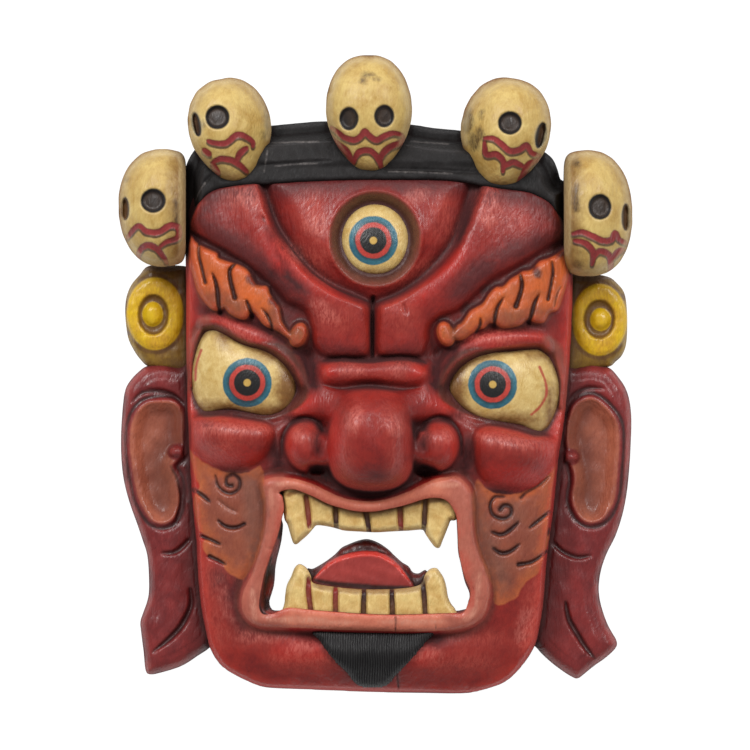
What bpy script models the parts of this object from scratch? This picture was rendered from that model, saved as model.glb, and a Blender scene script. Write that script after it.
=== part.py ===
"""A carved wooden festival mask of a wrathful, three-eyed guardian face, with a crown of five skulls.

The mask is one block of wood, so it is one solid. It lies on the flat rim of its hollow back.
Frame: metres, +Z up and out of the face, +Y towards the crown, +X to the right of someone who looks
at the face. The origin is at the middle of the mask's footprint, on the surface that it lies on.
"""

import math

import bmesh
import bpy
from mathutils import Matrix, Vector

MM = 0.001  # one millimetre; outlines below are written in millimetres

# Driving dimensions
EDGE_HEIGHT = 30 * MM  # where the face's crowned front would meet the outline
CROWN_RISE = 38 * MM  # rise of the front from its edge to its middle
CROWN_HALF_WIDTH = 124 * MM
CROWN_HALF_LENGTH = 192 * MM
CROWN_CENTRE_Y = -20 * MM
WALL = 17 * MM  # thickness of the shell and width of the rim
EAR_FLOOR, EAR_TOP = 5 * MM, 30 * MM
BAND_RADIUS = 11 * MM  # half the thickness of the rounded hair band
SKULL_SIZE = Vector((51 * MM, 70 * MM, 54 * MM))
VOXEL = 2.2 * MM
DETAIL_KEPT = 0.036  # share of the merged skin's faces that stay
GOUGE = 2.6 * MM  # half the width of a gouge line
BELOW = -20 * MM  # how far cutters reach below the rim
ABOVE = 140 * MM  # and above the highest point

# The bosses. Lifts are above the bare crowned front, in millimetres.
SUNK_LIFT, BOSS_LIFT, RING_LIFT = -1, 3, 4
CHEEK_BULGE, EYE_BULGE, FROWN_BULGE, FLAT_BULGE, STUD_BULGE = 15 * MM, 9 * MM, 9 * MM, 3 * MM, 6 * MM
LID_RADIUS, LID_SPREAD = 4.5 * MM, 1.13  # the lids' half thickness, and their line's size beside the eye's
LIP_RADIUS = 6 * MM
THIRD_EYE = ((0, 80, 66), (42, 43, 34))
THIRD_EYE_RING = ((0.5, 81), (26, 27), 3.5 * MM)  # middle, half sizes and half thickness
NOSE_BALLS = [
    ((-2, 0, 76), (62, 13, 24)),  # the roll across the bridge
    ((-2, -27, 70), (42, 48, 58)),
    ((-3, -45, 76), (55, 50, 72)),
    ((-42, -43, 74), (25, 27, 32)),
    ((39, -43, 74), (25, 27, 32)),
]
NOSTRILS = [((-35, -59, 80), (9, 8, 20)), ((29, -59, 80), (9, 8, 20))]
STUD_BOSSES = [((-132, 36, 33), (14, 15, 22)), ((134, 32.5, 33), (14, 15, 22))]
EAR_HOLLOWS = [((-131, -53, 34), (29, 70, 16)), ((132, -52, 34), (29, 74, 16))]
SKULL_EYE, SKULL_EYE_SIDE, SKULL_EYE_LOW, SKULL_EYE_OUT = (14, 15, 14), 10.5 * MM, -3 * MM, 25 * MM
SKULL_JAW = 0.14  # how much narrower a skull is at its chin

# The hollow back and the mouth
HOLLOW_SHARE, HOLLOW_DROP, HOLLOW_BULGE = 0.62, 6 * MM, 5 * MM
TOOTH_LEVEL, TONGUE_LEVEL = 60 * MM, 53 * MM
TOOTH_GAP, TOOTH_GAP_REACH = 1.4 * MM, 12  # half width, and half length in millimetres

# Outlines, in millimetres, each closed and running anticlockwise
FACE_OUTLINE = [
    (52, -190), (70, -186), (84, -176), (96, -161), (102, -130), (107, -80), (113, -30), (117.5, 20),
    (118, 70), (117, 112), (110, 123), (95, 136), (70, 143), (35, 147), (-10, 150), (-61, 148.5),
    (-95, 142), (-109, 131), (-114.5, 112), (-113.5, 60), (-112.5, 0), (-111, -50), (-107.5, -100),
    (-104, -140), (-97, -166), (-80, -181), (-62, -187), (-20, -189),
]
BAND_LINE = [
    (-111, 84), (-108, 102), (-98, 116), (-75, 127), (-40, 131), (0, 132), (40, 129), (75, 124),
    (98, 116), (111, 103), (115, 84),
]
LEFT_EAR = [
    (-112, 2), (-124, 6), (-136, 3.5), (-145, -4), (-149.5, -18), (-151.5, -42), (-149.5, -63),
    (-143, -86), (-136, -106), (-134.3, -128), (-136.5, -141), (-139.5, -149), (-138, -164),
    (-136, -179), (-120, -176), (-108, -169), (-96, -158), (-100, -110), (-106, -50),
]
RIGHT_EAR = [
    (112, 2), (108, -50), (101, -110), (94, -156), (101, -166), (112, -176.5), (120, -182),
    (131, -174), (144, -163), (138, -151), (133.5, -136), (133.5, -120), (139.5, -104), (147, -84),
    (151.5, -58), (152.7, -30), (149.5, -10), (140, 2.5), (128, 6),
]
LEFT_STUD = [
    (-108, 62), (-122, 66), (-136, 64.5), (-146, 53), (-149.5, 36),
    (-146, 17), (-136, 4), (-122, 2), (-108, 6),
]
RIGHT_STUD = [
    (110, 6), (126, 2), (140, 4), (148, 12), (151, 31), (149, 48), (139.5, 58), (126, 61), (110, 58),
]
LIPS_INNER = [
    (56, -133), (50, -142), (12, -144), (-38, -141), (-66, -143), (-68, -131), (-60, -104), (-55, -82),
    (-56, -71), (-48, -69), (-28, -77.5), (0, -82), (22, -77.5), (40, -74), (48, -84),
    (49.5, -106), (54, -122),
]
MOUTH_GAP = [
    (48.5, -86.5), (49.5, -106), (53, -121), (56, -131), (50, -140), (44, -134), (41, -122), (35, -116),
    (24, -119), (9, -106), (-6, -99), (-21, -105), (-38, -117), (-45, -113.5), (-51, -123), (-54, -137),
    (-60, -142), (-63, -135), (-59.5, -117), (-54.5, -88), (-52, -90), (-47.5, -101.5), (-35, -90.5),
    (0, -94.5), (28.5, -93), (37.5, -104), (44, -89),
]
LEFT_EYE = [
    (-96, 26), (-105.5, 15), (-108.5, 0), (-106, -15), (-100, -22.5), (-82, -21), (-64, -24.5), (-50, -17),
    (-49, -2), (-62, 12), (-80, 17),
]
RIGHT_EYE = [
    (46, -9), (57, -21), (80, -28), (97, -33.5), (105, -23), (108.5, -8),
    (103, 8), (96, 13), (76, 11.5), (58, 7.5),
]
LEFT_CHEEK = [
    (-57, -34), (-65, -28), (-84, -27), (-105, -25), (-113, -34),
    (-106, -47), (-92, -57.5), (-74, -57), (-60, -47),
]
RIGHT_CHEEK = [
    (57, -42), (58, -56), (68, -67), (84, -69), (100, -60), (109, -45), (100, -37), (82, -32), (64, -31),
]
LEFT_BROW = [
    (-112, 81), (-113, 70), (-108, 58), (-103, 45), (-96, 38), (-86, 34), (-77, 32), (-66, 27), (-56, 22),
    (-43, 16), (-41, 22), (-47, 30), (-52, 28), (-56, 40), (-64, 50), (-76, 60), (-88, 70), (-100, 76),
]
RIGHT_BROW = [
    (116, 78), (104, 72), (92, 62), (80, 57), (68, 50), (56, 40), (48, 32), (42, 31), (36, 22), (40, 15),
    (52, 21), (64, 27), (76, 28), (88, 31), (98, 32), (108, 40), (114, 52), (117.5, 66),
]
LEFT_FROWN = [(-4, 12), (-3, 36), (-12, 46), (-30, 54), (-50, 62), (-54, 40), (-38, 14), (-20, 9)]
RIGHT_FROWN = [(1.5, 12), (20, 9), (34, 14), (46, 38), (48, 60), (30, 52), (12, 45), (2, 38)]
TONGUE_STEP = [
    (-40, -100), (-40, -119), (-34, -127), (-6, -131.5), (24, -130), (26, -119), (20, -100), (-6, -92),
]
BEARD = [(-37, -153), (-28, -166), (-13, -183), (0, -187), (9, -184), (20, -171), (35, -153), (0, -154)]
LIP_LINE = [
    (-60, -66), (-44, -66), (-28, -72), (-14, -78), (-3, -79), (10, -77), (26, -70), (42, -67), (52, -71),
    (54, -84), (54, -100), (60, -118), (62, -134), (54, -147), (30, -149), (-5, -148), (-40, -147),
    (-68, -147), (-74, -138), (-68, -118), (-60, -96), (-59, -78),
]

# Gouge lines, in millimetres: how far each runs above the bare crowned front, then its points
GOUGES = [
    (1, [
        (-66, 108), (-60, 92), (-51, 78), (-38, 63), (-22, 51),
        (-1, 44), (20, 52), (34, 64), (46, 80), (55, 108),
    ]),
    (6, [(-105, 72), (-101, 53)]),
    (6, [(-96, 62), (-92, 38)]),
    (6, [(-86, 58), (-83, 38)]),
    (6, [(-78, 50), (-74, 34)]),
    (6, [(-67, 44), (-62, 29)]),
    (6, [(106, 62), (102, 40)]),
    (6, [(97, 56), (92, 35)]),
    (6, [(87, 54), (83, 33)]),
    (6, [(75, 47), (71, 31)]),
    (6, [(63, 38), (59, 25)]),
    (0, [(-108, -70), (-97, -74)]),
    (0, [(-106, -93), (-90, -101)]),
    (0, [(-93, -86), (-85, -90), (-76, -89)]),
    (0, [(-78, -66), (-84, -60), (-90, -66), (-85, -74), (-76, -73)]),
    (0, [(106, -81), (91, -91)]),
    (0, [(104, -100), (98, -109), (86, -114)]),
    (0, [(69, -94), (77, -95), (86, -89)]),
    (0, [(82, -79), (76, -85), (69, -81), (71, -72), (80, -71)]),
]
EAR_FOLDS = [
    [(-145, -17), (-138, -12), (-128, -11), (-118, -18)],
    [(-127, -107), (-118, -105), (-110, -100)],
    [(-110, -128), (-113, -142), (-121, -153), (-134, -162)],
    [(113, -28), (119, -14), (128, -8), (138, -8)],
    [(107, -102), (115, -109), (128, -109)],
    [(114, -139), (117, -150), (125, -163), (133, -172)],
]
TOOTH_GAPS = [
    ((-40, -23.5, -4.5, 15, 29.5), -92),
    ((-39.5, -23.5, -6.5, 10.5, 29), -136),
]

# Skulls: centre (x, y, z) in millimetres, turn to the side and lean in degrees
SKULLS = [
    ((-126, 99, 46), -42, 8),
    ((-85, 145, 55), -44, 8),
    ((-3.5, 154.5, 60), -3, 2),
    ((77.5, 143.5, 55), 35, -8),
    ((126, 95.5, 46), 42, -8),
]


def clear_scene():
    """Removes every object that the scene starts with."""
    for thing in list(bpy.data.objects):
        bpy.data.objects.remove(thing)


def face_height(x, y):
    """Height of the face's crowned front, in metres, before anything is carved on it."""
    across = max(0.0, 1 - (x / CROWN_HALF_WIDTH) ** 2)
    along = max(0.0, 1 - ((y - CROWN_CENTRE_Y) / CROWN_HALF_LENGTH) ** 4)
    return EDGE_HEIGHT + CROWN_RISE * math.sqrt(across) * along


def smooth_loop(points, steps=3, closed=True):
    """A Catmull-Rom curve through outline points in millimetres, as 2-D vectors in metres."""
    spots = [Vector(p) * MM for p in points]
    count = len(spots)
    found = []
    for i in range(count if closed else count - 1):
        if closed:
            a, b, c, d = (spots[(i + k) % count] for k in (-1, 0, 1, 2))
        else:
            a, b, c, d = (spots[min(max(i + k, 0), count - 1)] for k in (-1, 0, 1, 2))
        for step in range(steps):
            t = step / steps
            bend, twist = 2 * a - 5 * b + 4 * c - d, 3 * b - a - 3 * c + d
            found.append(0.5 * (2 * b + (c - a) * t + bend * t**2 + twist * t**3))
    return found if closed else found + [spots[-1]]


def centre_of(loop):
    """Mean point of a loop."""
    return sum(loop, Vector((0, 0))) / len(loop)


def add_stack(bm, rings):
    """Joins closed rings of 3-D points, lowest first, and caps both ends."""
    made = [[bm.verts.new(p) for p in ring] for ring in rings]
    bm.faces.new(list(reversed(made[0])))
    bm.faces.new(made[-1])
    for low, high in zip(made, made[1:]):
        for i in range(len(low)):
            j = (i + 1) % len(low)
            bm.faces.new((low[i], low[j], high[j], high[i]))


def add_prism(bm, points, low, high):
    """A straight block on an outline."""
    loop = smooth_loop(points)
    add_stack(bm, [[(*p, z) for p in loop] for z in (low, high)])


def add_pillow(bm, points, low, height, bulge, rings=5):
    """A block on an outline whose top follows height(x, y) and swells by bulge towards the middle."""
    loop = smooth_loop(points)
    middle = centre_of(loop)
    stack = [[(p.x, p.y, low) for p in loop]]
    for ring in range(rings):
        angle = 0.5 * math.pi * ring / rings
        spots = [middle + (p - middle) * math.cos(angle) for p in loop]
        stack.append([(p.x, p.y, height(p.x, p.y) + bulge * math.sin(angle)) for p in spots])
    add_stack(bm, stack)


def add_tube(bm, points, radius, height, closed=True, sides=8, steps=3):
    """A round bar that follows a line over the surface height(x, y), centred on it."""
    line = smooth_loop(points, steps=steps, closed=closed)
    count = len(line)
    rings = []
    for i, p in enumerate(line):
        ahead = line[(i + 1) % count] if closed else line[min(i + 1, count - 1)]
        behind = line[i - 1] if closed else line[max(i - 1, 0)]
        side = (ahead - behind).orthogonal().normalized()
        ring = []
        for k in range(sides):
            angle = 2 * math.pi * k / sides
            out = side * radius * math.cos(angle)
            level = height(p.x, p.y) + radius * math.sin(angle)
            ring.append(bm.verts.new((p.x + out.x, p.y + out.y, level)))
        rings.append(ring)
    pairs = list(zip(rings, rings[1:] + (rings[:1] if closed else [])))
    for ring, following in pairs:
        for k in range(sides):
            j = (k + 1) % sides
            bm.faces.new((ring[k], ring[j], following[j], following[k]))
    if not closed:
        bm.faces.new(list(reversed(rings[0])))
        bm.faces.new(rings[-1])


def add_ball(bm, centre, size, segments=24):
    """An ellipsoid, its size given as full width, length and depth in millimetres."""
    place = Matrix.Translation(Vector(centre) * MM)
    stretch = Matrix.Diagonal((*(Vector(size) * MM * 0.5), 1))
    half = segments * 2 // 3
    bmesh.ops.create_uvsphere(bm, u_segments=segments, v_segments=half, radius=1, matrix=place @ stretch)


def skull_matrix(centre, turn, lean):
    """Places a skull: it faces +Z, turns about its own height and leans in the plane of the face."""
    lean_turn = Matrix.Rotation(math.radians(lean), 4, "Z") @ Matrix.Rotation(math.radians(turn), 4, "Y")
    return Matrix.Translation(Vector(centre) * MM) @ lean_turn


def add_skull(bm, centre, turn, lean):
    """An egg-shaped head that narrows to its chin."""
    made = bmesh.ops.create_uvsphere(bm, u_segments=28, v_segments=20, radius=0.5)["verts"]
    place = skull_matrix(centre, turn, lean)
    for vert in made:
        x, y, z = vert.co
        jaw = 1 - SKULL_JAW * max(0.0, -2 * y)
        local = Vector((x * SKULL_SIZE.x * jaw, y * SKULL_SIZE.y, z * SKULL_SIZE.z * jaw))
        vert.co = place @ local


def add_skull_sockets(bm, centre, turn, lean):
    """The two hollow eyes of a skull, as balls that are cut from it."""
    place = skull_matrix(centre, turn, lean)
    for side in (-1, 1):
        socket = place @ Vector((side * SKULL_EYE_SIDE, SKULL_EYE_LOW, SKULL_EYE_OUT))
        add_ball(bm, socket / MM, SKULL_EYE, segments=12)


def mesh_object(name, build, helper=False):
    """An object whose mesh build(bm) makes, with its faces pointing out."""
    bm = bmesh.new()
    build(bm)
    bmesh.ops.recalc_face_normals(bm, faces=bm.faces)
    mesh = bpy.data.meshes.new(name)
    bm.to_mesh(mesh)
    bm.free()
    made = bpy.data.objects.new(name, mesh)
    bpy.context.scene.collection.objects.link(made)
    if helper:
        made.hide_render = True
        made.display_type = "WIRE"
    return made


def raised(offset):
    """The face's front, moved out by offset millimetres."""
    return lambda x, y: face_height(x, y) + offset * MM


def level(height):
    """A flat surface at a height in metres."""
    return lambda x, y: height


def build_blank(bm):
    """The roughed-out block: the crowned face, the hair band, the ears and their studs."""
    add_pillow(bm, FACE_OUTLINE, 0, raised(-3), 3 * MM, rings=8)
    add_tube(bm, BAND_LINE, BAND_RADIUS, raised(-6), closed=False)
    for outline in (LEFT_EAR, RIGHT_EAR):
        add_prism(bm, outline, EAR_FLOOR, EAR_TOP)
    for outline in (LEFT_STUD, RIGHT_STUD):
        add_pillow(bm, outline, EAR_FLOOR, level(EAR_TOP - 2 * MM), STUD_BULGE)
    for centre, size in STUD_BOSSES:
        add_ball(bm, centre, size)


def build_features(bm):
    """The bosses that are left standing on the face."""
    for outline in (LEFT_CHEEK, RIGHT_CHEEK):
        add_pillow(bm, outline, EDGE_HEIGHT, raised(SUNK_LIFT), CHEEK_BULGE)
    for outline in (LEFT_EYE, RIGHT_EYE):
        add_pillow(bm, outline, EDGE_HEIGHT, raised(SUNK_LIFT), EYE_BULGE)
        middle = centre_of([Vector(p) for p in outline])
        lids = [middle + (Vector(p) - middle) * LID_SPREAD for p in outline]
        add_tube(bm, lids, LID_RADIUS, raised(BOSS_LIFT))
    for outline in (LEFT_FROWN, RIGHT_FROWN):
        add_pillow(bm, outline, EDGE_HEIGHT, raised(BOSS_LIFT), FROWN_BULGE)
    for outline in (LEFT_BROW, RIGHT_BROW, BEARD):
        add_pillow(bm, outline, EDGE_HEIGHT, raised(BOSS_LIFT), FLAT_BULGE, rings=3)
    (x, y), (half_width, half_height), radius = THIRD_EYE_RING
    turns = [math.tau * k / 16 for k in range(16)]
    ring = [(x + half_width * math.cos(a), y + half_height * math.sin(a)) for a in turns]
    add_tube(bm, ring, radius, raised(RING_LIFT))
    add_tube(bm, LIP_LINE, LIP_RADIUS, raised(BOSS_LIFT))
    for centre, size in (THIRD_EYE, *NOSE_BALLS):
        add_ball(bm, centre, size)
    for centre, turn, lean in SKULLS:
        add_skull(bm, centre, turn, lean)


def build_hollow(bm):
    """The room for the wearer's head, between the rim and the shell's inner face."""
    middle = centre_of([Vector(p) for p in FACE_OUTLINE])
    inset = []
    for p in FACE_OUTLINE:
        away = Vector(p) - middle
        inset.append(middle + away * (1 - WALL / MM / away.length))
    room_edge = lambda x, y: HOLLOW_SHARE * face_height(x, y) - HOLLOW_DROP
    add_pillow(bm, inset, BELOW, room_edge, HOLLOW_BULGE, rings=8)


def build_pocket(bm):
    """The mouth between the lips, cut down to the front of the teeth."""
    add_prism(bm, LIPS_INNER, TOOTH_LEVEL, ABOVE)


def build_gap(bm):
    """The open mouth between the fangs and round the tongue, right through the shell."""
    add_prism(bm, MOUTH_GAP, BELOW, ABOVE)


def build_tongue_step(bm):
    """The step between the lower teeth and the tongue behind them."""
    add_prism(bm, TONGUE_STEP, TONGUE_LEVEL, ABOVE)


def build_ear_hollows(bm):
    """The long shallow hollow of each ear."""
    for centre, size in EAR_HOLLOWS:
        add_ball(bm, centre, size)


def build_gouges(bm):
    """The gouge lines of the brows, cheeks, ears and teeth."""
    for lift, points in GOUGES:
        add_tube(bm, points, GOUGE, raised(lift), closed=False, sides=6, steps=2)
    for points in EAR_FOLDS:
        add_tube(bm, points, GOUGE, level(EAR_TOP), closed=False, sides=6, steps=2)
    for places, y in TOOTH_GAPS:
        for x in places:
            line = [(x, y - TOOTH_GAP_REACH), (x, y + TOOTH_GAP_REACH)]
            add_tube(bm, line, TOOTH_GAP, level(TOOTH_LEVEL), closed=False, sides=6, steps=1)


def build_holes(bm):
    """The nostrils and the skulls' eyes."""
    for centre, size in NOSTRILS:
        add_ball(bm, centre, size, segments=12)
    for centre, turn, lean in SKULLS:
        add_skull_sockets(bm, centre, turn, lean)


def build_floor(bm):
    """Everything below the rim, which leaves the back flat."""
    below_rim = Matrix.Translation((0, 0, BELOW)) @ Matrix.Diagonal((1, 1, -2 * BELOW, 1))
    bmesh.ops.create_cube(bm, size=1, matrix=below_rim)


def add_remesh(target, name):
    """Merges overlapping bosses into one closed skin."""
    merge = target.modifiers.new(name, "REMESH")
    merge.mode = "VOXEL"
    merge.voxel_size = VOXEL
    merge.adaptivity = 0.0


def add_cut(target, name, build):
    """Cuts the shape that build(bm) makes out of the target."""
    cut = target.modifiers.new(name, "BOOLEAN")
    cut.operation = "DIFFERENCE"
    cut.solver = "EXACT"
    cut.object = mesh_object(name, build, helper=True)


def lacquered_wood():
    """Red lacquer over carved wood."""
    material = bpy.data.materials.new("red_lacquered_wood")
    material.use_nodes = True
    shader = material.node_tree.nodes["Principled BSDF"]
    shader.inputs["Base Color"].default_value = (0.30, 0.03, 0.025, 1)
    shader.inputs["Roughness"].default_value = 0.42
    shader.inputs["Metallic"].default_value = 0.0
    return material


def build_mask():
    """The whole mask, carved in the order a carver would work: blank, bosses, hollow, mouth, lines."""

    def rough_out(bm):
        build_blank(bm)
        build_features(bm)

    mask = mesh_object("mask", rough_out)
    add_remesh(mask, "merge_bosses")
    add_cut(mask, "hollow_back", build_hollow)
    add_cut(mask, "mouth_pocket", build_pocket)
    add_cut(mask, "tongue_step", build_tongue_step)
    add_cut(mask, "open_mouth", build_gap)
    add_cut(mask, "ear_hollows", build_ear_hollows)
    add_remesh(mask, "soften_edges")
    thin = mask.modifiers.new("thin_out", "DECIMATE")
    thin.ratio = DETAIL_KEPT
    add_cut(mask, "eye_holes", build_holes)
    add_cut(mask, "gouge_lines", build_gouges)
    add_cut(mask, "flat_rim", build_floor)
    mask.data.materials.append(lacquered_wood())
    return mask


clear_scene()
build_mask()
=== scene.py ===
"""Looks of a carved and painted guardian mask: three eyes, fangs, long ears and a crown of skulls.

The mask lies face up on its back rim. Every piece is carved the same way. Outlines and gouge strokes, in
millimetres, set the height of the wood over a grid. The height, the outline and the hollow behind then cut a
block of signed distances, and the block's skin becomes one closed mesh. Paint follows the same outlines.
Dark glaze and painted shade gather where the wood lies deep between its neighbours. The ridges are painted
paler, as scuffed paint and as a painted highlight, and painted highlights lie on listed patches.

Frame: metres, +Z up and out of the face, +Y towards the crown.
"""

from __future__ import annotations

import logging
import math
from collections.abc import Iterable, Sequence
from dataclasses import dataclass, field
from enum import Enum
from itertools import product

import bpy
import numpy as np
from mathutils import Matrix, Vector

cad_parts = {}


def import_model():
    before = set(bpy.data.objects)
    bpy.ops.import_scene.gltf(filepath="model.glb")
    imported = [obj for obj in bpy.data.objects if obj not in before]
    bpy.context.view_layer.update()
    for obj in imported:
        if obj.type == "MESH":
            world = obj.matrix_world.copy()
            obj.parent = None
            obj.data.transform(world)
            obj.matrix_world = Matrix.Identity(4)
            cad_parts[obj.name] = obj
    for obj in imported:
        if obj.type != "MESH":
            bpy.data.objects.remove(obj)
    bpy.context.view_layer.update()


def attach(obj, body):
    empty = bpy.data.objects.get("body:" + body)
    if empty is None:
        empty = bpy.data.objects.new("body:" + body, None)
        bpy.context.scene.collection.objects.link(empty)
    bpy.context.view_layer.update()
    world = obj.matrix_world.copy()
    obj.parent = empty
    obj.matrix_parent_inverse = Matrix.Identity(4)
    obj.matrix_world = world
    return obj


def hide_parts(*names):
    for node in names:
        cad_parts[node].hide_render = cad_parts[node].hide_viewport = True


LOG = logging.getLogger("guardian_mask")

MM = 0.001
NODE = "mask"
BODY = "root"
REACH = 16.0  # how far outside an outline its distance is still worked out, in millimetres
COARSE = 1.0
THINNING = 1.0
KEPT_EDGE = 1.3 * COARSE  # the mesh stays whole this near to a sharp edge of paint, in millimetres

Points = Sequence[tuple[float, float]]
Shade = tuple[int, int, int]  # a paint's red, green and blue, each from 0 to 255
Wave = np.ndarray | float


# Curves and soft combinations, all in millimetres


def curve_through(points: Points, closed: bool, steps: int = 4) -> np.ndarray:
    """Runs a Catmull-Rom curve through points.

    Args:
        points: the curve's points.
        closed: whether the last point joins the first.
        steps: how many straight pieces replace the stretch between two points.

    Returns:
        The points of the finer curve, one row each.
    """
    spots = np.array(points, float)
    if closed:
        a, b, c, d = (np.roll(spots, shift, axis=0) for shift in (1, 0, -1, -2))
    else:
        padded = np.vstack([spots[:1], spots, spots[-1:]])
        a, b, c, d = padded[:-3], padded[1:-2], padded[2:-1], padded[3:]
    t = (np.arange(steps) / steps)[:, None, None]
    curve = 0.5 * (2 * b + (c - a) * t + (2 * a - 5 * b + 4 * c - d) * t**2 + (3 * b - a - 3 * c + d) * t**3)
    curve = curve.transpose(1, 0, 2).reshape(-1, 2)
    return curve if closed else np.vstack([curve, spots[-1:]])


def nearest_on_line(
    x: np.ndarray, y: np.ndarray, start: Sequence[float], end: Sequence[float]
) -> tuple[np.ndarray, np.ndarray, np.ndarray]:
    """Finds the nearest point of a straight line to each of many places.

    Args:
        x: the places across.
        y: the places up.
        start: where the line starts.
        end: where it ends.

    Returns:
        How far along the line that point lies, from 0 to 1, and the steps across and up from it.
    """
    (ax, ay), (bx, by) = start, end
    dx, dy = bx - ax, by - ay
    share = np.clip(((x - ax) * dx + (y - ay) * dy) / (dx * dx + dy * dy + 1e-12), 0, 1)
    return share, x - ax - share * dx, y - ay - share * dy


def soft_max(a: np.ndarray, b: np.ndarray, blend: float) -> np.ndarray:
    """The higher of two surfaces, with a fillet of about blend millimetres where they meet."""
    share = np.clip(0.5 + 0.5 * (a - b) / blend, 0, 1)
    return b * (1 - share) + a * share + blend * share * (1 - share)


def soft_min(a: np.ndarray, b: np.ndarray, blend: float) -> np.ndarray:
    """The lower of two surfaces, with a rounded edge of about blend millimetres where they meet."""
    return -soft_max(-a, -b, blend)


def ease(values: np.ndarray, low: float, high: float) -> np.ndarray:
    """A smooth step from 0 at low to 1 at high."""
    t = np.clip((values - low) / (high - low), 0, 1)
    return t * t * (3 - 2 * t)


def bell(values: np.ndarray, width: float) -> np.ndarray:
    """A bell-shaped swell around 0, 1 at its top."""
    return np.exp(-((values / width) ** 2))


def dome(inside: np.ndarray, width: float, rise: float, fall: float = 2.5) -> np.ndarray:
    """The rounded edge of a carved boss.

    Args:
        inside: how far inside the boss's outline each spot is, negative outside.
        width: how wide the rounded edge is.
        rise: how far the boss rises over that width.
        fall: the slope at which its side drops away outside the outline.

    Returns:
        The height above the foot of the boss.
    """
    t = np.clip(inside / width, 0, 1)
    return np.where(inside > 0, rise * np.sqrt(np.clip(1 - (1 - t) ** 2, 0, 1)), fall * inside)


def wobble(x: np.ndarray, y: np.ndarray, size: float, seed: int) -> np.ndarray:
    """The slow unevenness of hand carving.

    Args:
        x: places across.
        y: places along.
        size: the typical length of one swell.
        seed: which pattern.

    Returns:
        Values from about -1 to 1.
    """
    draw = np.random.default_rng(seed)
    total = np.zeros_like(x)
    for _ in range(8):
        angle = draw.uniform(0, math.tau)
        wave = math.tau / (size * draw.uniform(0.7, 1.6))
        total += np.sin(wave * (x * math.cos(angle) + y * math.sin(angle)) + draw.uniform(0, math.tau))
    return total / 5


def crowned_front(x: np.ndarray, y: np.ndarray) -> np.ndarray:
    """Height of the bare crowned front before anything is carved on it."""
    across = np.sqrt(np.clip(1 - (x / 122) ** 2, 0, 1))
    along = np.clip(1 - ((y + 20) / 190) ** 4, 0, 1)
    return 30 + 38 * across * along


def spread(values: np.ndarray, width: float) -> np.ndarray:
    """Blurs a grid with a bell of the given width, counted in cells."""
    reach = max(1, int(3 * width))
    weights = np.exp(-0.5 * (np.arange(-reach, reach + 1) / width) ** 2)
    weights /= weights.sum()
    for axis in (0, 1):
        padded = np.pad(values, [(reach, reach) if a == axis else (0, 0) for a in (0, 1)], mode="edge")
        length = values.shape[axis]
        values = sum(w * np.take(padded, range(s, s + length), axis=axis) for s, w in enumerate(weights))
    return values


def inflate(inside: np.ndarray, step: float) -> np.ndarray:
    """How high a soft skin blown up inside an outline stands.

    Args:
        inside: how far inside the outline each spot is, negative outside.
        step: the distance between two spots.

    Returns:
        Heights from 0 at the outline to 1 at the top.
    """
    rows, columns = np.where(inside > 0)
    part = (slice(rows.min() - 1, rows.max() + 2), slice(columns.min() - 1, columns.max() + 2))
    within = inside[part] > 0
    deep = np.where(within, inside[part], 0.0)
    skin = deep * (2.2 * deep.max() - deep)
    for _ in range(500):
        padded = np.pad(skin, 1)
        mean = (padded[2:, 1:-1] + padded[:-2, 1:-1] + padded[1:-1, 2:] + padded[1:-1, :-2]) / 4
        skin = np.where(within, mean + step**2, 0.0)
    result = np.zeros_like(inside)
    result[part] = np.sqrt(skin / skin.max()) * np.sqrt(np.clip(deep / 1.5, 0, 1))
    return result


# Grid, relief and block


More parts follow.
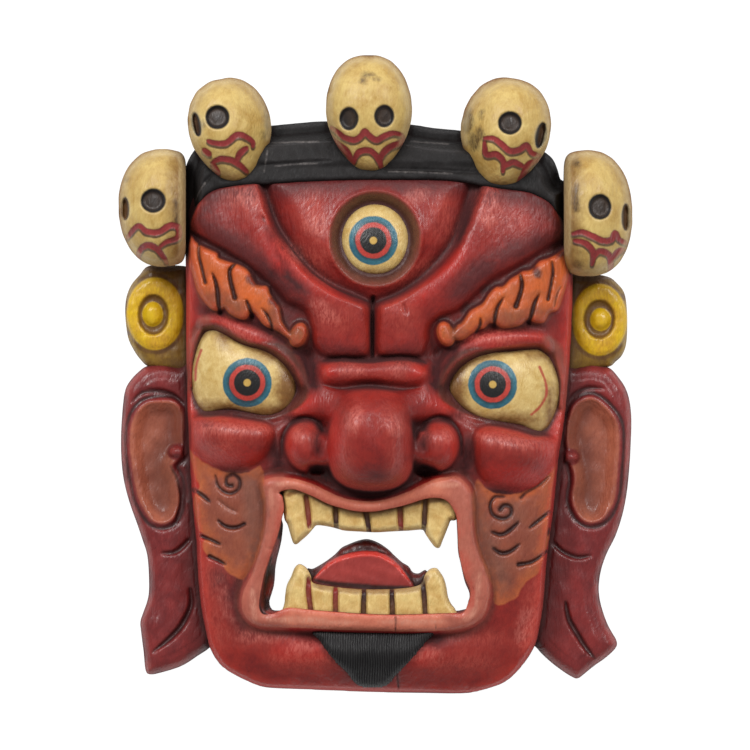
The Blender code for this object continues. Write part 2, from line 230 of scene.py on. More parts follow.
@dataclass
class Grid:
    """A square grid over part of the mask's front, in millimetres."""

    low: tuple[float, float]
    high: tuple[float, float]
    step: float

    def __post_init__(self) -> None:
        """Works out the grid's places."""
        self.xs = np.arange(self.low[0], self.high[0] + self.step, self.step)
        self.ys = np.arange(self.low[1], self.high[1] + self.step, self.step)
        self.x, self.y = np.meshgrid(self.xs, self.ys)

    @classmethod
    def round(cls, outline: Points, step: float, margin: float = 3.0) -> Grid:
        """A grid that holds an outline with a margin of empty cells round it."""
        spots = curve_through(outline, True)
        low, high = spots.min(axis=0) - margin, spots.max(axis=0) + margin
        return cls(tuple(low), tuple(high), step * COARSE)

    def window(self, spots: np.ndarray, reach: float) -> tuple[slice, slice]:
        """The part of the grid within reach of some points, as row and column slices."""
        low = (spots.min(axis=0) - reach - self.low) / self.step
        high = (spots.max(axis=0) + reach - self.low) / self.step
        first = np.clip(np.floor(low).astype(int), 0, None)
        last = np.clip(np.ceil(high).astype(int) + 1, 0, None)
        return slice(first[1], last[1]), slice(first[0], last[0])

    def inside(self, outline: Points, steps: int = 4, reach: float = REACH) -> np.ndarray:
        """Signed distance to a closed outline, positive inside and never under -reach.

        Args:
            outline: the outline's points.
            steps: straight pieces between two points of its curve; 1 keeps its corners.
            reach: how far outside the distance is worked out.

        Returns:
            The distance at each of the grid's places.
        """
        loop = curve_through(outline, True, steps)
        result = np.full(self.x.shape, -reach)
        part = self.window(loop, reach)
        x, y = self.x[part], self.y[part]
        nearest = np.full(x.shape, np.inf)
        within = np.zeros(x.shape, bool)
        for (ax, ay), (bx, by) in zip(loop, np.roll(loop, -1, axis=0)):
            _, across, up = nearest_on_line(x, y, (ax, ay), (bx, by))
            nearest = np.minimum(nearest, across**2 + up**2)
            if ay != by:
                within ^= ((ay > y) != (by > y)) & (x < (bx - ax) * (y - ay) / (by - ay) + ax)
        distance = np.sqrt(nearest)
        result[part] = np.where(within, distance, np.maximum(-distance, -reach))
        return result

    def stroke(
        self, line: Points, width: float, tips: tuple[float, float] = (1, 1), reach: float = 8
    ) -> np.ndarray:
        """Signed distance to a stroke of a gouge or brush, positive inside and never under -reach.

        Args:
            line: the stroke's middle line.
            width: half its width at its widest.
            tips: the widths of its start and end, as shares of that.
            reach: how far outside the distance is worked out.

        Returns:
            The distance at each of the grid's places.
        """
        path = curve_through(line, False)
        walk = np.r_[0, np.cumsum(np.hypot(*np.diff(path, axis=0).T))]
        along = walk / walk[-1]
        ends = tips[0] + (tips[1] - tips[0]) * along
        radii = width * (ends + (1 - ends) * np.sin(np.pi * along) ** 0.6)
        result = np.full(self.x.shape, -float(reach))
        part = self.window(path, reach + width)
        x, y = self.x[part], self.y[part]
        best = np.full(x.shape, -float(reach))
        for first, second, start, end in zip(path, path[1:], radii, radii[1:]):
            share, across, up = nearest_on_line(x, y, first, second)
            best = np.maximum(best, start + (end - start) * share - np.hypot(across, up))
        result[part] = best
        return result

    def oval(self, centre: tuple[float, float], size: tuple[float, float], turn: float = 0) -> np.ndarray:
        """Signed distance to an ellipse, positive inside.

        Args:
            centre: its middle.
            size: its half width and half height.
            turn: its turn to the left, in degrees.

        Returns:
            The distance at each of the grid's places.
        """
        angle = math.radians(turn)
        dx, dy = self.x - centre[0], self.y - centre[1]
        u = dx * math.cos(angle) + dy * math.sin(angle)
        v = dy * math.cos(angle) - dx * math.sin(angle)
        level = np.sqrt((u / size[0]) ** 2 + (v / size[1]) ** 2) + 1e-6
        steepness = np.sqrt((u / size[0] ** 2) ** 2 + (v / size[1] ** 2) ** 2) / level + 1e-6
        return np.clip((1 - level) / steepness, -60, min(size))

    def strokes(
        self, lines: Iterable[Points], width: float, tips: tuple[float, float] = (1, 1)
    ) -> np.ndarray:
        """Signed distance to the nearest of several strokes of the same width."""
        return np.maximum.reduce([self.stroke(line, width, tips) for line in lines])

    def ovals(self, patches: Iterable[tuple[float, ...]]) -> np.ndarray:
        """Signed distance to the nearest of several ellipses, given as middle, size and turn."""
        return np.maximum.reduce([self.oval(patch[:2], patch[2:4], *patch[4:]) for patch in patches])

    def sample(self, values: np.ndarray, x: np.ndarray, y: np.ndarray) -> np.ndarray:
        """Reads grid values at any places, with a straight blend between neighbours."""
        u = np.clip((x - self.low[0]) / self.step, 0, len(self.xs) - 1.001)
        v = np.clip((y - self.low[1]) / self.step, 0, len(self.ys) - 1.001)
        i, j = u.astype(int), v.astype(int)
        u, v = u - i, v - j
        lower = values[j, i] * (1 - u) + values[j, i + 1] * u
        upper = values[j + 1, i] * (1 - u) + values[j + 1, i + 1] * u
        return lower * (1 - v) + upper * v


@dataclass(frozen=True)
class Gouge:
    """One cut of the gouge: its line, half its width, its depth and the widths of its two ends."""

    line: Points
    width: float
    depth: float
    tips: tuple[float, float] = (0.4, 0.4)
    ink: float = 0.0  # how far its dark paint reaches past its edge, in millimetres


@dataclass
class Relief:
    """The height of the wood over a grid while it is being carved."""

    grid: Grid

    def __post_init__(self) -> None:
        """Starts from the bare crowned front."""
        self.base = crowned_front(self.grid.x, self.grid.y)
        self.height = self.base.copy()
        self.planned: list[tuple[Gouge, float]] = []
        self.ink = np.full(self.grid.x.shape, -REACH)
        self.brow_shade = self.ink.copy()

    def pad(
        self,
        inside: np.ndarray,
        lift: float,
        width: float,
        rise: float,
        fall: float = 2.5,
        blend: float = 1.2,
        smooth: float = 0.0,
    ) -> None:
        """Leaves a rounded boss standing.

        Args:
            inside: signed distance to its outline.
            lift: its foot above the bare front.
            width: how wide its rounded edge is.
            rise: how far it rises over that width.
            fall: how steeply its side drops.
            blend: how softly it meets the wood round it.
            smooth: how far its own edges are rounded off, in millimetres.
        """
        form = dome(inside, width, rise, fall)
        if smooth:
            form = spread(form, smooth / self.grid.step)
        self.height = soft_max(self.height, self.base + lift + form, blend)

    def swell(self, inside: np.ndarray, lift: float, rise: Wave) -> None:
        """Leaves a form standing that bulges like a filled skin.

        Args:
            inside: signed distance to its outline.
            lift: its foot above the bare front.
            rise: how far its top stands above that.
        """
        form = rise * inflate(inside, self.grid.step) + 3 * np.minimum(inside, 0)
        self.height = soft_max(self.height, self.base + lift + form, 2)

    def ball(
        self, centre: tuple[float, float], size: tuple[float, float], foot: float, rise: float
    ) -> None:
        """Leaves a round boss standing, such as a nostril's wing.

        Args:
            centre: its middle.
            size: its half width and half height.
            foot: the height of its foot.
            rise: how far its top stands above that.
        """
        inside = self.grid.oval(centre, size)
        self.height = soft_max(self.height, foot + dome(inside, min(size), rise, 3), 2)

    def sink(self, inside: np.ndarray, depth: float, slope: float) -> None:
        """Lowers the wood inside an outline, over a bank that reaches slope millimetres inwards."""
        self.height = self.height - depth * ease(inside, 0, slope)

    def cut(self, gouges: Iterable[Gouge], soft: float = 0.9) -> None:
        """Plans gouge lines, which are cut once the forms are smooth."""
        self.planned += [(gouge, soft) for gouge in gouges]

    def settle(self, smooth: float) -> None:
        """Rounds the forms off over a few tenths of a millimetre and cuts the planned lines."""
        self.height = spread(self.height, smooth / self.grid.step)
        for gouge, soft in self.planned:
            inside = self.grid.stroke(gouge.line, gouge.width, gouge.tips)
            self.height = self.height - gouge.depth * ease(inside, -soft, gouge.width)
            self.ink = np.maximum(self.ink, inside + gouge.ink)
        self.height = spread(self.height, 0.4 / self.grid.step)

    def welt(self, line: Points, width: float, lift: float, tips: tuple[float, float] = (0.4, 0.4)) -> None:
        """Leaves a narrow rounded ridge standing along a line."""
        inside = self.grid.stroke(line, width, tips)
        self.height = self.height + lift * np.sqrt(ease(inside, -0.4, width))

    def roughen(self, amount: float, size: float, seed: int) -> None:
        """Adds the unevenness of the tool."""
        self.height = self.height + amount * wobble(self.grid.x, self.grid.y, size, seed)


@dataclass
class Block:
    """A block of signed distances, in millimetres, negative in the wood."""

    grid: Grid
    low: float
    high: float

    def __post_init__(self) -> None:
        """Makes the block's levels and fills it with wood."""
        self.zs = np.arange(self.low, self.high + self.grid.step, self.grid.step, dtype=np.float32)
        self.z = self.zs[:, None, None]
        self.wood = np.full((len(self.zs), *self.grid.x.shape), -1000.0, np.float32)

    def remove(self, distance: np.ndarray) -> None:
        """Takes away the wood where the distance is positive."""
        np.maximum(self.wood, distance.astype(np.float32), out=self.wood)

    def keep_between(self, top: np.ndarray, bottom: np.ndarray) -> None:
        """Takes away the wood above one surface and below another."""
        for height, side in ((top, 1), (bottom, -1)):
            down, across = np.gradient(height, self.grid.step)
            self.remove(side * (self.z - height) / np.sqrt(1 + down**2 + across**2))

    def tops(self) -> np.ndarray:
        """Height of the wood's highest point over each place of the grid, 0 where there is none."""
        solid = self.wood < 0
        highest = len(self.zs) - 1 - np.argmax(solid[::-1], axis=0)
        above = np.minimum(highest + 1, len(self.zs) - 1)
        rows, columns = np.indices(highest.shape)
        inner, outer = self.wood[highest, rows, columns], self.wood[above, rows, columns]
        part = np.clip(-inner / np.maximum(outer - inner, 1e-6), 0, 1)
        return np.where(solid.any(axis=0), self.zs[highest] + part * self.grid.step, 0.0)

    def skin(self) -> tuple[np.ndarray, np.ndarray]:
        """The block's closed surface, with one point in each cell that the surface crosses.

        Returns:
            The points, in millimetres, and the four-cornered faces, which look outwards.
        """
        solid = self.wood < 0
        size = solid.shape
        corners = list(product((0, 1), repeat=3))
        filled = np.zeros([n - 1 for n in size], np.uint8)
        for z, y, x in corners:
            filled += solid[z : size[0] - 1 + z, y : size[1] - 1 + y, x : size[2] - 1 + x]
        crossed_cells = (filled > 0) & (filled < 8)
        cells = np.argwhere(crossed_cells)
        depths = {corner: self.wood[tuple((cells + corner).T)] for corner in corners}
        total = np.zeros((len(cells), 3))
        count = np.zeros((len(cells), 1))
        for start, axis in product(corners, range(3)):
            if start[axis]:
                continue
            end = tuple(1 if a == axis else c for a, c in enumerate(start))
            crossed = (depths[start] < 0) != (depths[end] < 0)
            share = np.where(crossed, depths[start] / np.where(crossed, depths[start] - depths[end], 1), 0)
            place = np.repeat([np.array(start, float)], len(cells), axis=0)
            place[:, axis] = share
            total += place * crossed[:, None]
            count += crossed[:, None]
        places = (cells + total / count) * self.grid.step
        points = places[:, ::-1] + (*self.grid.low, self.low)
        number = np.full(filled.shape, -1, np.int32)
        number[crossed_cells] = np.arange(len(cells))
        faces = []
        for axis, first, second in ((0, 2, 1), (1, 0, 2), (2, 1, 0)):
            one, two = np.eye(3, dtype=int)[[first, second]]
            near = np.take(solid, range(size[axis] - 1), axis=axis)
            far = np.take(solid, range(1, size[axis]), axis=axis)
            for edges, outwards in ((np.argwhere(near & ~far), True), (np.argwhere(~near & far), False)):
                ring = (edges - one - two, edges - two, edges, edges - one)
                quads = np.stack([number[tuple(cell.T)] for cell in ring], axis=1)
                faces.append(quads if outwards else quads[:, ::-1])
        return points, np.concatenate(faces)


def largest_part(points: np.ndarray, faces: np.ndarray) -> tuple[np.ndarray, np.ndarray]:
    """Keeps the largest joined part of a mesh, and drops crumbs that the gouge cut off.

    Args:
        points: the mesh's points.
        faces: its faces, as rows of point numbers.

    Returns:
        The points and faces that stay.
    """
    label = np.arange(len(points))
    starts, ends = faces.ravel(), np.roll(faces, -1, axis=1).ravel()
    while True:
        lowest = np.minimum(label[starts], label[ends])
        fresh = label.copy()
        np.minimum.at(fresh, starts, lowest)
        np.minimum.at(fresh, label[starts], lowest)
        fresh = fresh[fresh]
        if np.array_equal(fresh, label):
            break
        label = fresh
    keep = label == np.bincount(label).argmax()
    number = np.cumsum(keep) - 1
    return points[keep], number[faces[keep[faces[:, 0]]]]


def new_object(name: str, points: np.ndarray, faces: np.ndarray) -> bpy.types.Object:
    """Makes a mesh object from points in millimetres and faces with as many corners each."""
    mesh = bpy.data.meshes.new(name)
    mesh.vertices.add(len(points))
    mesh.vertices.foreach_set("co", (points * MM).astype(np.float32).ravel())
    mesh.loops.add(faces.size)
    mesh.loops.foreach_set("vertex_index", faces.astype(np.int32).ravel())
    mesh.polygons.add(len(faces))
    mesh.polygons.foreach_set("loop_start", np.arange(0, faces.size, faces.shape[1], dtype=np.int32))
    mesh.update(calc_edges=True)
    shape = bpy.data.objects.new(name, mesh)
    bpy.context.scene.collection.objects.link(shape)
    return shape


def point_vectors(mesh: bpy.types.Mesh, name: str) -> np.ndarray:
    """Reads the places or the normals of a mesh's points, one row each."""
    values = np.empty(len(mesh.vertices) * 3, np.float32)
    mesh.vertices.foreach_get(name, values)
    return values.reshape(-1, 3)


def settle_modifiers(shape: bpy.types.Object) -> None:
    """Turns what an object's modifiers make of it into its own plain mesh."""
    ready = shape.evaluated_get(bpy.context.evaluated_depsgraph_get())
    mesh = bpy.data.meshes.new_from_object(ready)
    shape.modifiers.clear()
    shape.data = mesh
    mesh.name = shape.name


@dataclass
class Carving:
    """A piece on its way from the block to the finished object."""

    name: str
    block: Block
    budget: int  # most triangles that the finished mesh has
    areas: dict[str, np.ndarray] = field(default_factory=dict)  # distances inside each painted area
    painted_above: float = -100.0  # level that the painted areas reach down to, in millimetres

    def shape(self, crisp: set[str]) -> bpy.types.Object:
        """Makes the piece's mesh and thins it to its budget, but not along the edges of its paint.

        Args:
            crisp: the marks of the areas whose paint has a sharp edge.

        Returns:
            The mesh object.
        """
        points, faces = largest_part(*self.block.skin())
        shape = new_object(self.name, points, faces)
        budget = self.budget / THINNING
        if 2 * len(faces) > budget:
            x, y, z = points.T
            edge = np.full(len(points), REACH)
            for name in sorted(crisp & self.areas.keys()):
                edge = np.minimum(edge, np.abs(self.block.grid.sample(self.areas[name], x, y)))
            free = np.flatnonzero((edge > KEPT_EDGE) | (z < self.painted_above))
            shape.vertex_groups.new(name="free").add(free.tolist(), 1.0, "REPLACE")
            thin = shape.modifiers.new("thin", "DECIMATE")
            thin.ratio = budget / (2 * len(faces))
            thin.vertex_group = "free"
            settle_modifiers(shape)
            shape.vertex_groups.clear()
        shape.data.shade_smooth()
        return shape


@dataclass
class FrontMap:
    """The lie of the whole front, which says where glaze and painted shade gather and where the paint is
    scuffed pale and painted as a highlight.
    """

    grid: Grid = field(default_factory=lambda: Grid((-162, -200), (162, 200), 1.0))

    def __post_init__(self) -> None:
        """Starts from an empty floor."""
        self.height = np.zeros_like(self.grid.x)

    def add(self, block: Block) -> None:
        """Puts a carved block's front on the map."""
        own = block.grid
        part = self.grid.window(np.array([own.low, (own.xs[-1], own.ys[-1])]), -1)
        tops = own.sample(block.tops(), self.grid.x[part], self.grid.y[part])
        self.height[part] = np.maximum(self.height[part], tops)

    def blur(self) -> None:
        """Works out the level of the wood round each place, near and far, leaving bare floor out."""
        wood = (self.height > 0).astype(float)
        self.near, self.around, self.far = (
            spread(self.height, width) / np.maximum(spread(wood, width), 0.05) for width in (1.7, 5.0, 11.0)
        )

    def mark(self, carving: Carving, shape: bpy.types.Object) -> None:
        """Writes on each point of a piece how it lies among its neighbours and in its painted areas.

        Args:
            carving: the piece's block and areas.
            shape: its mesh object.
        """
        mesh = shape.data
        x, y, z = point_vectors(mesh, "co").T / MM
        up = point_vectors(mesh, "normal")[:, 2]
        near, around, far = (self.grid.sample(level, x, y) for level in (self.near, self.around, self.far))
        # nook: dark glaze in the narrow hollows. shade: glaze and painted shade over wood that lies lower
        # than its neighbours. ridge: scuffed paint and a painted highlight on the ridges.
        marks = {
            "nook": np.clip((near - z - 0.5) / 3.4, 0, 1),
            "shade": np.clip((around - z) / 9, 0, 1) * 0.6 + np.clip((far - z) / 16, 0, 1) * 0.5,
            "ridge": np.clip((z - near - 0.3) / 1.2, 0, 1),
            "dull": np.clip(1.2 * (near - z - 0.3) / 3.4, 0, 1) + ease(0.55 - up, 0, 0.5),
            "behind": ease(-up, 0.1, 0.45),
        }
        for name, inside in carving.areas.items():
            painted = carving.block.grid.sample(inside, x, y)
            marks[name] = np.where(z > carving.painted_above, painted, -REACH)
        # The face gets less painted shade under its brighter red and painted light, and a more matt finish in
        # its painted shade.
        if "glow" in marks:
            marks["shade"] = marks["shade"] * (1 - 0.8 * ease(marks["glow"], -2, 3))
            matt = marks["dull"] + 0.9 * ease(marks["valley"], -3, 2)
            marks["dull"] = matt + 0.3 * ease(marks["dusky"], -3, 3)
        for name, values in marks.items():
            mark = mesh.attributes.new(name, "FLOAT", "POINT")
            mark.data.foreach_set("value", values.astype(np.float32))


# Shader nodes


Wire = bpy.types.NodeSocket | float | tuple[float, ...]


def paint_colour(shade: Shade) -> tuple[float, float, float, float]:
    """A paint's colour for a shader, in linear light."""
    parts = (part / 255 for part in shade)
    red, green, blue = (p / 12.92 if p <= 0.04045 else ((p + 0.055) / 1.055) ** 2.4 for p in parts)
    return red, green, blue, 1.0


class Wires:
    """Lays out the nodes of one tree and joins them."""

    def __init__(self, tree: bpy.types.NodeTree) -> None:
        """Starts on a tree."""
        self.tree = tree

    def add(self, kind: str, **settings: object) -> bpy.types.Node:
        """Adds a node of the kind named, with its settings."""
        node = self.tree.nodes.new(kind)
        for name, value in settings.items():
            setattr(node, name, value)
        return node

    def feed(self, socket: bpy.types.NodeSocket, value: Wire) -> None:
        """Joins another socket to an input, or sets its plain value."""
        if isinstance(value, bpy.types.NodeSocket):
            self.tree.links.new(value, socket)
        else:
            socket.default_value = value

    def math(self, operation: str, a: Wire, b: Wire = 0.0, clamp: bool = False) -> bpy.types.NodeSocket:
        """One sum on two values."""
        node = self.add("ShaderNodeMath", operation=operation, use_clamp=clamp)
        self.feed(node.inputs[0], a)
        self.feed(node.inputs[1], b)
        return node.outputs[0]

    def times(self, a: Wire, b: Wire, clamp: bool = False) -> bpy.types.NodeSocket:
        """The product of two values."""
        return self.math("MULTIPLY", a, b, clamp)

    def plus(self, a: Wire, b: Wire, clamp: bool = False) -> bpy.types.NodeSocket:
        """The sum of two values."""
        return self.math("ADD", a, b, clamp)

    def mix(self, share: Wire, a: Wire, b: Wire) -> bpy.types.NodeSocket:
        """Blends colour b over colour a by a share."""
        node = self.add("ShaderNodeMix", data_type="RGBA", clamp_factor=True)
        for place, value in ((0, share), (6, a), (7, b)):
            self.feed(node.inputs[place], value)
        return node.outputs[2]

    def remap(
        self, value: Wire, low: Wire, high: Wire, start: float = 0, end: float = 1
    ) -> bpy.types.NodeSocket:
        """Turns the range from low to high into the range from start to end, and stops there."""
        node = self.add("ShaderNodeMapRange", clamp=True)
        for place, part in enumerate((value, low, high, start, end)):
            self.feed(node.inputs[place], part)
        return node.outputs[0]

    def noise(
        self, place: Wire, size: Wire, detail: float = 4, roughness: float = 0.6, distortion: float = 0
    ) -> bpy.types.NodeSocket:
        """A cloudy pattern whose patches are size millimetres long."""
        node = self.add("ShaderNodeTexNoise")
        self.feed(node.inputs["Vector"], place)
        self.feed(node.inputs["Scale"], self.math("DIVIDE", 1 / MM, size))
        node.inputs["Detail"].default_value = detail
        node.inputs["Roughness"].default_value = roughness
        node.inputs["Distortion"].default_value = distortion
        return node.outputs["Fac"]

    def stretched(self, across: float, along: float, turn: float = 0) -> bpy.types.NodeSocket:
        """Object coordinates, squeezed so that a pattern runs long in one direction."""
        node = self.add("ShaderNodeMapping", vector_type="TEXTURE")
        self.feed(node.inputs["Vector"], self.add("ShaderNodeTexCoord").outputs["Object"])
        node.inputs["Rotation"].default_value[2] = math.radians(turn)
        node.inputs["Scale"].default_value = (across, along, 1)
        return node.outputs[0]

    def mark(self, name: str) -> bpy.types.NodeSocket:
        """A value written on the mesh's points."""
        return self.add("ShaderNodeAttribute", attribute_name=name).outputs["Fac"]

    def gaze(self) -> bpy.types.NodeSocket:
        """Minus the distance from an eye's pupil, in millimetres."""
        offsets = (self.math("ABSOLUTE", self.mark(name)) for name in ("gaze_x", "gaze_y"))
        squares = (self.math("POWER", offset, 2) for offset in offsets)
        return self.times(self.math("SQRT", self.plus(*squares)), -1)

    def group(self, tree: bpy.types.NodeTree, **values: Wire) -> bpy.types.Node:
        """Places a shader group and feeds its inputs by name."""
        node = self.add("ShaderNodeGroup", node_tree=tree)
        for name, value in values.items():
            self.feed(node.inputs[name], value)
        return node


class Kind(Enum):
    """What a group's socket carries."""

    VALUE = "NodeSocketFloat"
    COLOUR = "NodeSocketColor"


class ShaderGroup:
    """A shader effect that several finishes share."""

    def __init__(self, name: str, inputs: dict[str, Kind], outputs: dict[str, Kind]) -> None:
        """Makes an empty group with named sockets."""
        self.tree = bpy.data.node_groups.new(name, "ShaderNodeTree")
        for side, sockets in (("INPUT", inputs), ("OUTPUT", outputs)):
            for title, kind in sockets.items():
                self.tree.interface.new_socket(title, in_out=side, socket_type=kind.value)
        self.wires = Wires(self.tree)
        self.given = self.wires.add("NodeGroupInput").outputs
        self.result = self.wires.add("NodeGroupOutput").inputs

    def give(self, name: str, value: Wire) -> None:
        """Sends a value to one of the group's outputs."""
        self.wires.feed(self.result[name], value)


class Effects:
    """The shared effects: brush marks, painted areas, scuffed paint with a painted highlight on the ridges,
    and glaze with painted shade.
    """

    def __init__(self) -> None:
        """Builds each group once."""
        self.brush_marks = self._brush_marks()
        self.painted_area = self._painted_area()
        self.worn_ridge_and_highlight = self._worn_ridge_and_highlight()
        self.glaze_and_painted_shade = self._glaze_and_painted_shade()

    @staticmethod
    def _brush_marks() -> bpy.types.NodeTree:
        """Streaks, patches and bumps that a brush leaves along the face."""
        outputs = dict.fromkeys(("Streak", "Patch", "Rough", "Height"), Kind.VALUE)
        group = ShaderGroup("brush_marks", {"Size": Kind.VALUE}, outputs)
        wires, size = group.wires, group.given["Size"]
        streak = wires.noise(wires.stretched(1, 6, 4), size, 5, 0.7, 0.6)
        cross = wires.noise(wires.stretched(1, 5, -27), size, 4, 0.65, 0.4)
        patch = wires.noise(wires.stretched(1, 1), wires.times(size, 11), 6, 0.65, 0.5)
        ribs = wires.noise(wires.stretched(1, 7, 4), wires.times(size, 1.3), 1.5, 0.5, 0.3)
        dabs = wires.noise(wires.stretched(1, 2.5, -27), wires.times(size, 2.4), 2, 0.5, 0.5)
        lines = wires.plus(wires.times(streak, 0.65), wires.times(cross, 0.35))
        group.give("Rough", wires.math("SUBTRACT", wires.noise(wires.stretched(1, 1), 4.0, 4, 0.6), 0.5))
        group.give("Streak", wires.remap(lines, 0.36, 0.64))
        group.give("Patch", wires.remap(patch, 0.32, 0.68))
        group.give("Height", wires.plus(ribs, wires.times(dabs, 1.5)))
        return group.tree

    @staticmethod
    def _painted_area() -> bpy.types.NodeTree:
        """The area inside an outline, with the ragged edge of hand painting."""
        names = ("Distance", "Rough", "Ragged", "Soft")
        group = ShaderGroup("painted_area", dict.fromkeys(names, Kind.VALUE), {"Mask": Kind.VALUE})
        wires, given = group.wires, group.given
        shifted = wires.plus(given["Distance"], wires.times(given["Rough"], given["Ragged"]))
        low = wires.times(given["Soft"], -1)
        group.give("Mask", wires.remap(shifted, low, given["Soft"]))
        return group.tree

    @staticmethod
    def _worn_ridge_and_highlight() -> bpy.types.NodeTree:
        """Paler paint along the ridges: scuffed paint, and a painted highlight."""
        inputs = dict.fromkeys(("Colour", "Worn"), Kind.COLOUR)
        inputs |= dict.fromkeys(("Ridge", "Streak", "Amount"), Kind.VALUE)
        group = ShaderGroup("worn_ridge_and_highlight", inputs, {"Colour": Kind.COLOUR})
        wires, given = group.wires, group.given
        scratchy = wires.times(given["Ridge"], wires.remap(given["Streak"], 0, 0.8, 0.35, 1.3))
        share = wires.times(scratchy, given["Amount"], clamp=True)
        group.give("Colour", wires.mix(share, given["Colour"], given["Worn"]))
        return group.tree

    @staticmethod
    def _glaze_and_painted_shade() -> bpy.types.NodeTree:
        """Painted shade with glaze: a thin tint of painted shade and glaze over the low parts, and a dark
        line of glaze in the narrow hollows.
        """
        inputs = dict.fromkeys(("Colour", "Glaze", "Deep"), Kind.COLOUR)
        inputs |= dict.fromkeys(("Nook", "Shade", "Streak", "Patch", "Amount"), Kind.VALUE)
        group = ShaderGroup("glaze_and_painted_shade", inputs, {"Colour": Kind.COLOUR})
        wires, given = group.wires, group.given
        uneven = wires.times(given["Amount"], wires.remap(given["Streak"], 0, 1, 1.25, 0.75))
        blotchy = wires.times(uneven, wires.remap(given["Patch"], 0, 1, 1.3, 0.8))
        # painted shade, with glaze, over the low parts
        tint = wires.times(wires.times(given["Shade"], 1.7), blotchy, clamp=True)
        tinted = wires.mix(tint, given["Colour"], given["Glaze"])
        line = wires.times(given["Nook"], uneven, clamp=True)
        group.give("Colour", wires.mix(line, tinted, given["Deep"]))
        return group.tree


@dataclass(frozen=True)
class Coat:
    """One colour of paint and the area that it covers."""

    shade: Shade
    patch: Shade  # the colour that it drifts to in patches
    area: str = ""  # the mark that says how far inside its area a point lies
    grow: float = 0.0  # how far the paint reaches past that outline, in millimetres
    soft: float = 0.35
    ragged: float = 0.8
    cover: float = 1.0
    streaky: float = 0.0  # how much the brush's streaks break it up


@dataclass(frozen=True)
class PaintedWood:
    """Carved wood under brushed paint: its ridges scuffed paler with a painted highlight, glaze in its
    hollows and painted shade over its low parts.
    """

    title: str
    ground: Coat
    coats: tuple[Coat, ...]
    # colour of the ridges' scuffed paint, which also serves as their painted highlight
    worn_and_highlight: Shade
    # the colour of the glaze and painted shade over the low parts
    glaze: Shade
    deep: Shade = (34, 22, 20)
    # how strongly the ridges are scuffed pale and painted as a highlight
    wear_and_highlight: float = 0.4
    # how strong the glaze and the painted shade are
    age: float = 0.8
    roughness: float = 0.3
    shine: float = 0.5  # level of the mirror-like share
    stroke: float = 1.2  # width of a brush mark, in millimetres
    relief: float = 1.0  # strength of the fine bumps
    bumps: float = 0.28  # height of the fine bumps, in millimetres

    def _patchy(self, wires: Wires, coat: Coat, marks: bpy.types.Node) -> bpy.types.NodeSocket:
        """A coat's colour with its drift between patches and streaks."""
        drift = wires.times(marks.outputs["Patch"], 0.75)
        drift = wires.plus(drift, wires.times(marks.outputs["Streak"], 0.35), clamp=True)
        return wires.mix(drift, paint_colour(coat.shade), paint_colour(coat.patch))

    def material(self, effects: Effects) -> bpy.types.Material:
        """Builds the finish's material.

        Args:
            effects: the shared shader groups.

        Returns:
            The material.
        """
        material = bpy.data.materials.new(self.title)
        material.use_nodes = True
        material.node_tree.nodes.clear()
        wires = Wires(material.node_tree)
        marks = wires.group(effects.brush_marks, Size=self.stroke)
        streak = marks.outputs["Streak"]
        colour = self._patchy(wires, self.ground, marks)
        for coat in self.coats:
            inside = wires.gaze() if coat.area == "gaze" else wires.mark(coat.area)
            distance = wires.plus(inside, coat.grow)
            edge = {"Rough": marks.outputs["Rough"], "Ragged": coat.ragged, "Soft": coat.soft}
            area = wires.group(effects.painted_area, Distance=distance, **edge)
            share = wires.times(area.outputs["Mask"], coat.cover)
            if coat.streaky:
                broken = wires.remap(streak, 0.25, 0.75, 1 - coat.streaky, 1)
                share = wires.times(share, broken)
            colour = wires.mix(share, colour, self._patchy(wires, coat, marks))
        # scuffed paint and a painted highlight along the ridges
        worn_and_highlight = wires.group(
            effects.worn_ridge_and_highlight,
            Colour=colour,
            Worn=paint_colour(self.worn_and_highlight),
            Ridge=wires.mark("ridge"),
            Streak=streak,
            Amount=self.wear_and_highlight,
        )
        # glaze and painted shade over the low parts, and dark glaze in the narrow hollows
        glazed_and_shaded = wires.group(
            effects.glaze_and_painted_shade,
            Colour=worn_and_highlight.outputs["Colour"],
            Glaze=paint_colour(self.glaze),
            Deep=paint_colour(self.deep),
            Nook=wires.mark("nook"),
            Shade=wires.mark("shade"),
            Streak=streak,
            Patch=marks.outputs["Patch"],
            Amount=self.age,
        )
        shader = wires.add("ShaderNodeBsdfPrincipled")
        bump = wires.add("ShaderNodeBump")
        bump.inputs["Strength"].default_value = self.relief
        bump.inputs["Distance"].default_value = self.bumps * MM
        wires.feed(bump.inputs["Height"], marks.outputs["Height"])
        wires.feed(shader.inputs["Base Color"], glazed_and_shaded.outputs["Colour"])
        low, high = self.roughness - 0.04, self.roughness + 0.18
        gloss = wires.remap(streak, 0, 1, high, low)
        dull = wires.times(wires.mark("dull"), 0.5, clamp=True)
        wires.feed(shader.inputs["Roughness"], wires.plus(gloss, dull, clamp=True))
        wires.feed(shader.inputs["Normal"], bump.outputs["Normal"])
        shader.inputs["Specular IOR Level"].default_value = self.shine
        output = wires.add("ShaderNodeOutputMaterial")
        wires.feed(output.inputs["Surface"], shader.outputs["BSDF"])
        return material


WOOD_BEHIND = Coat((112, 74, 48), (74, 46, 32), "behind", grow=-0.5, soft=0.12, ragged=0.1)

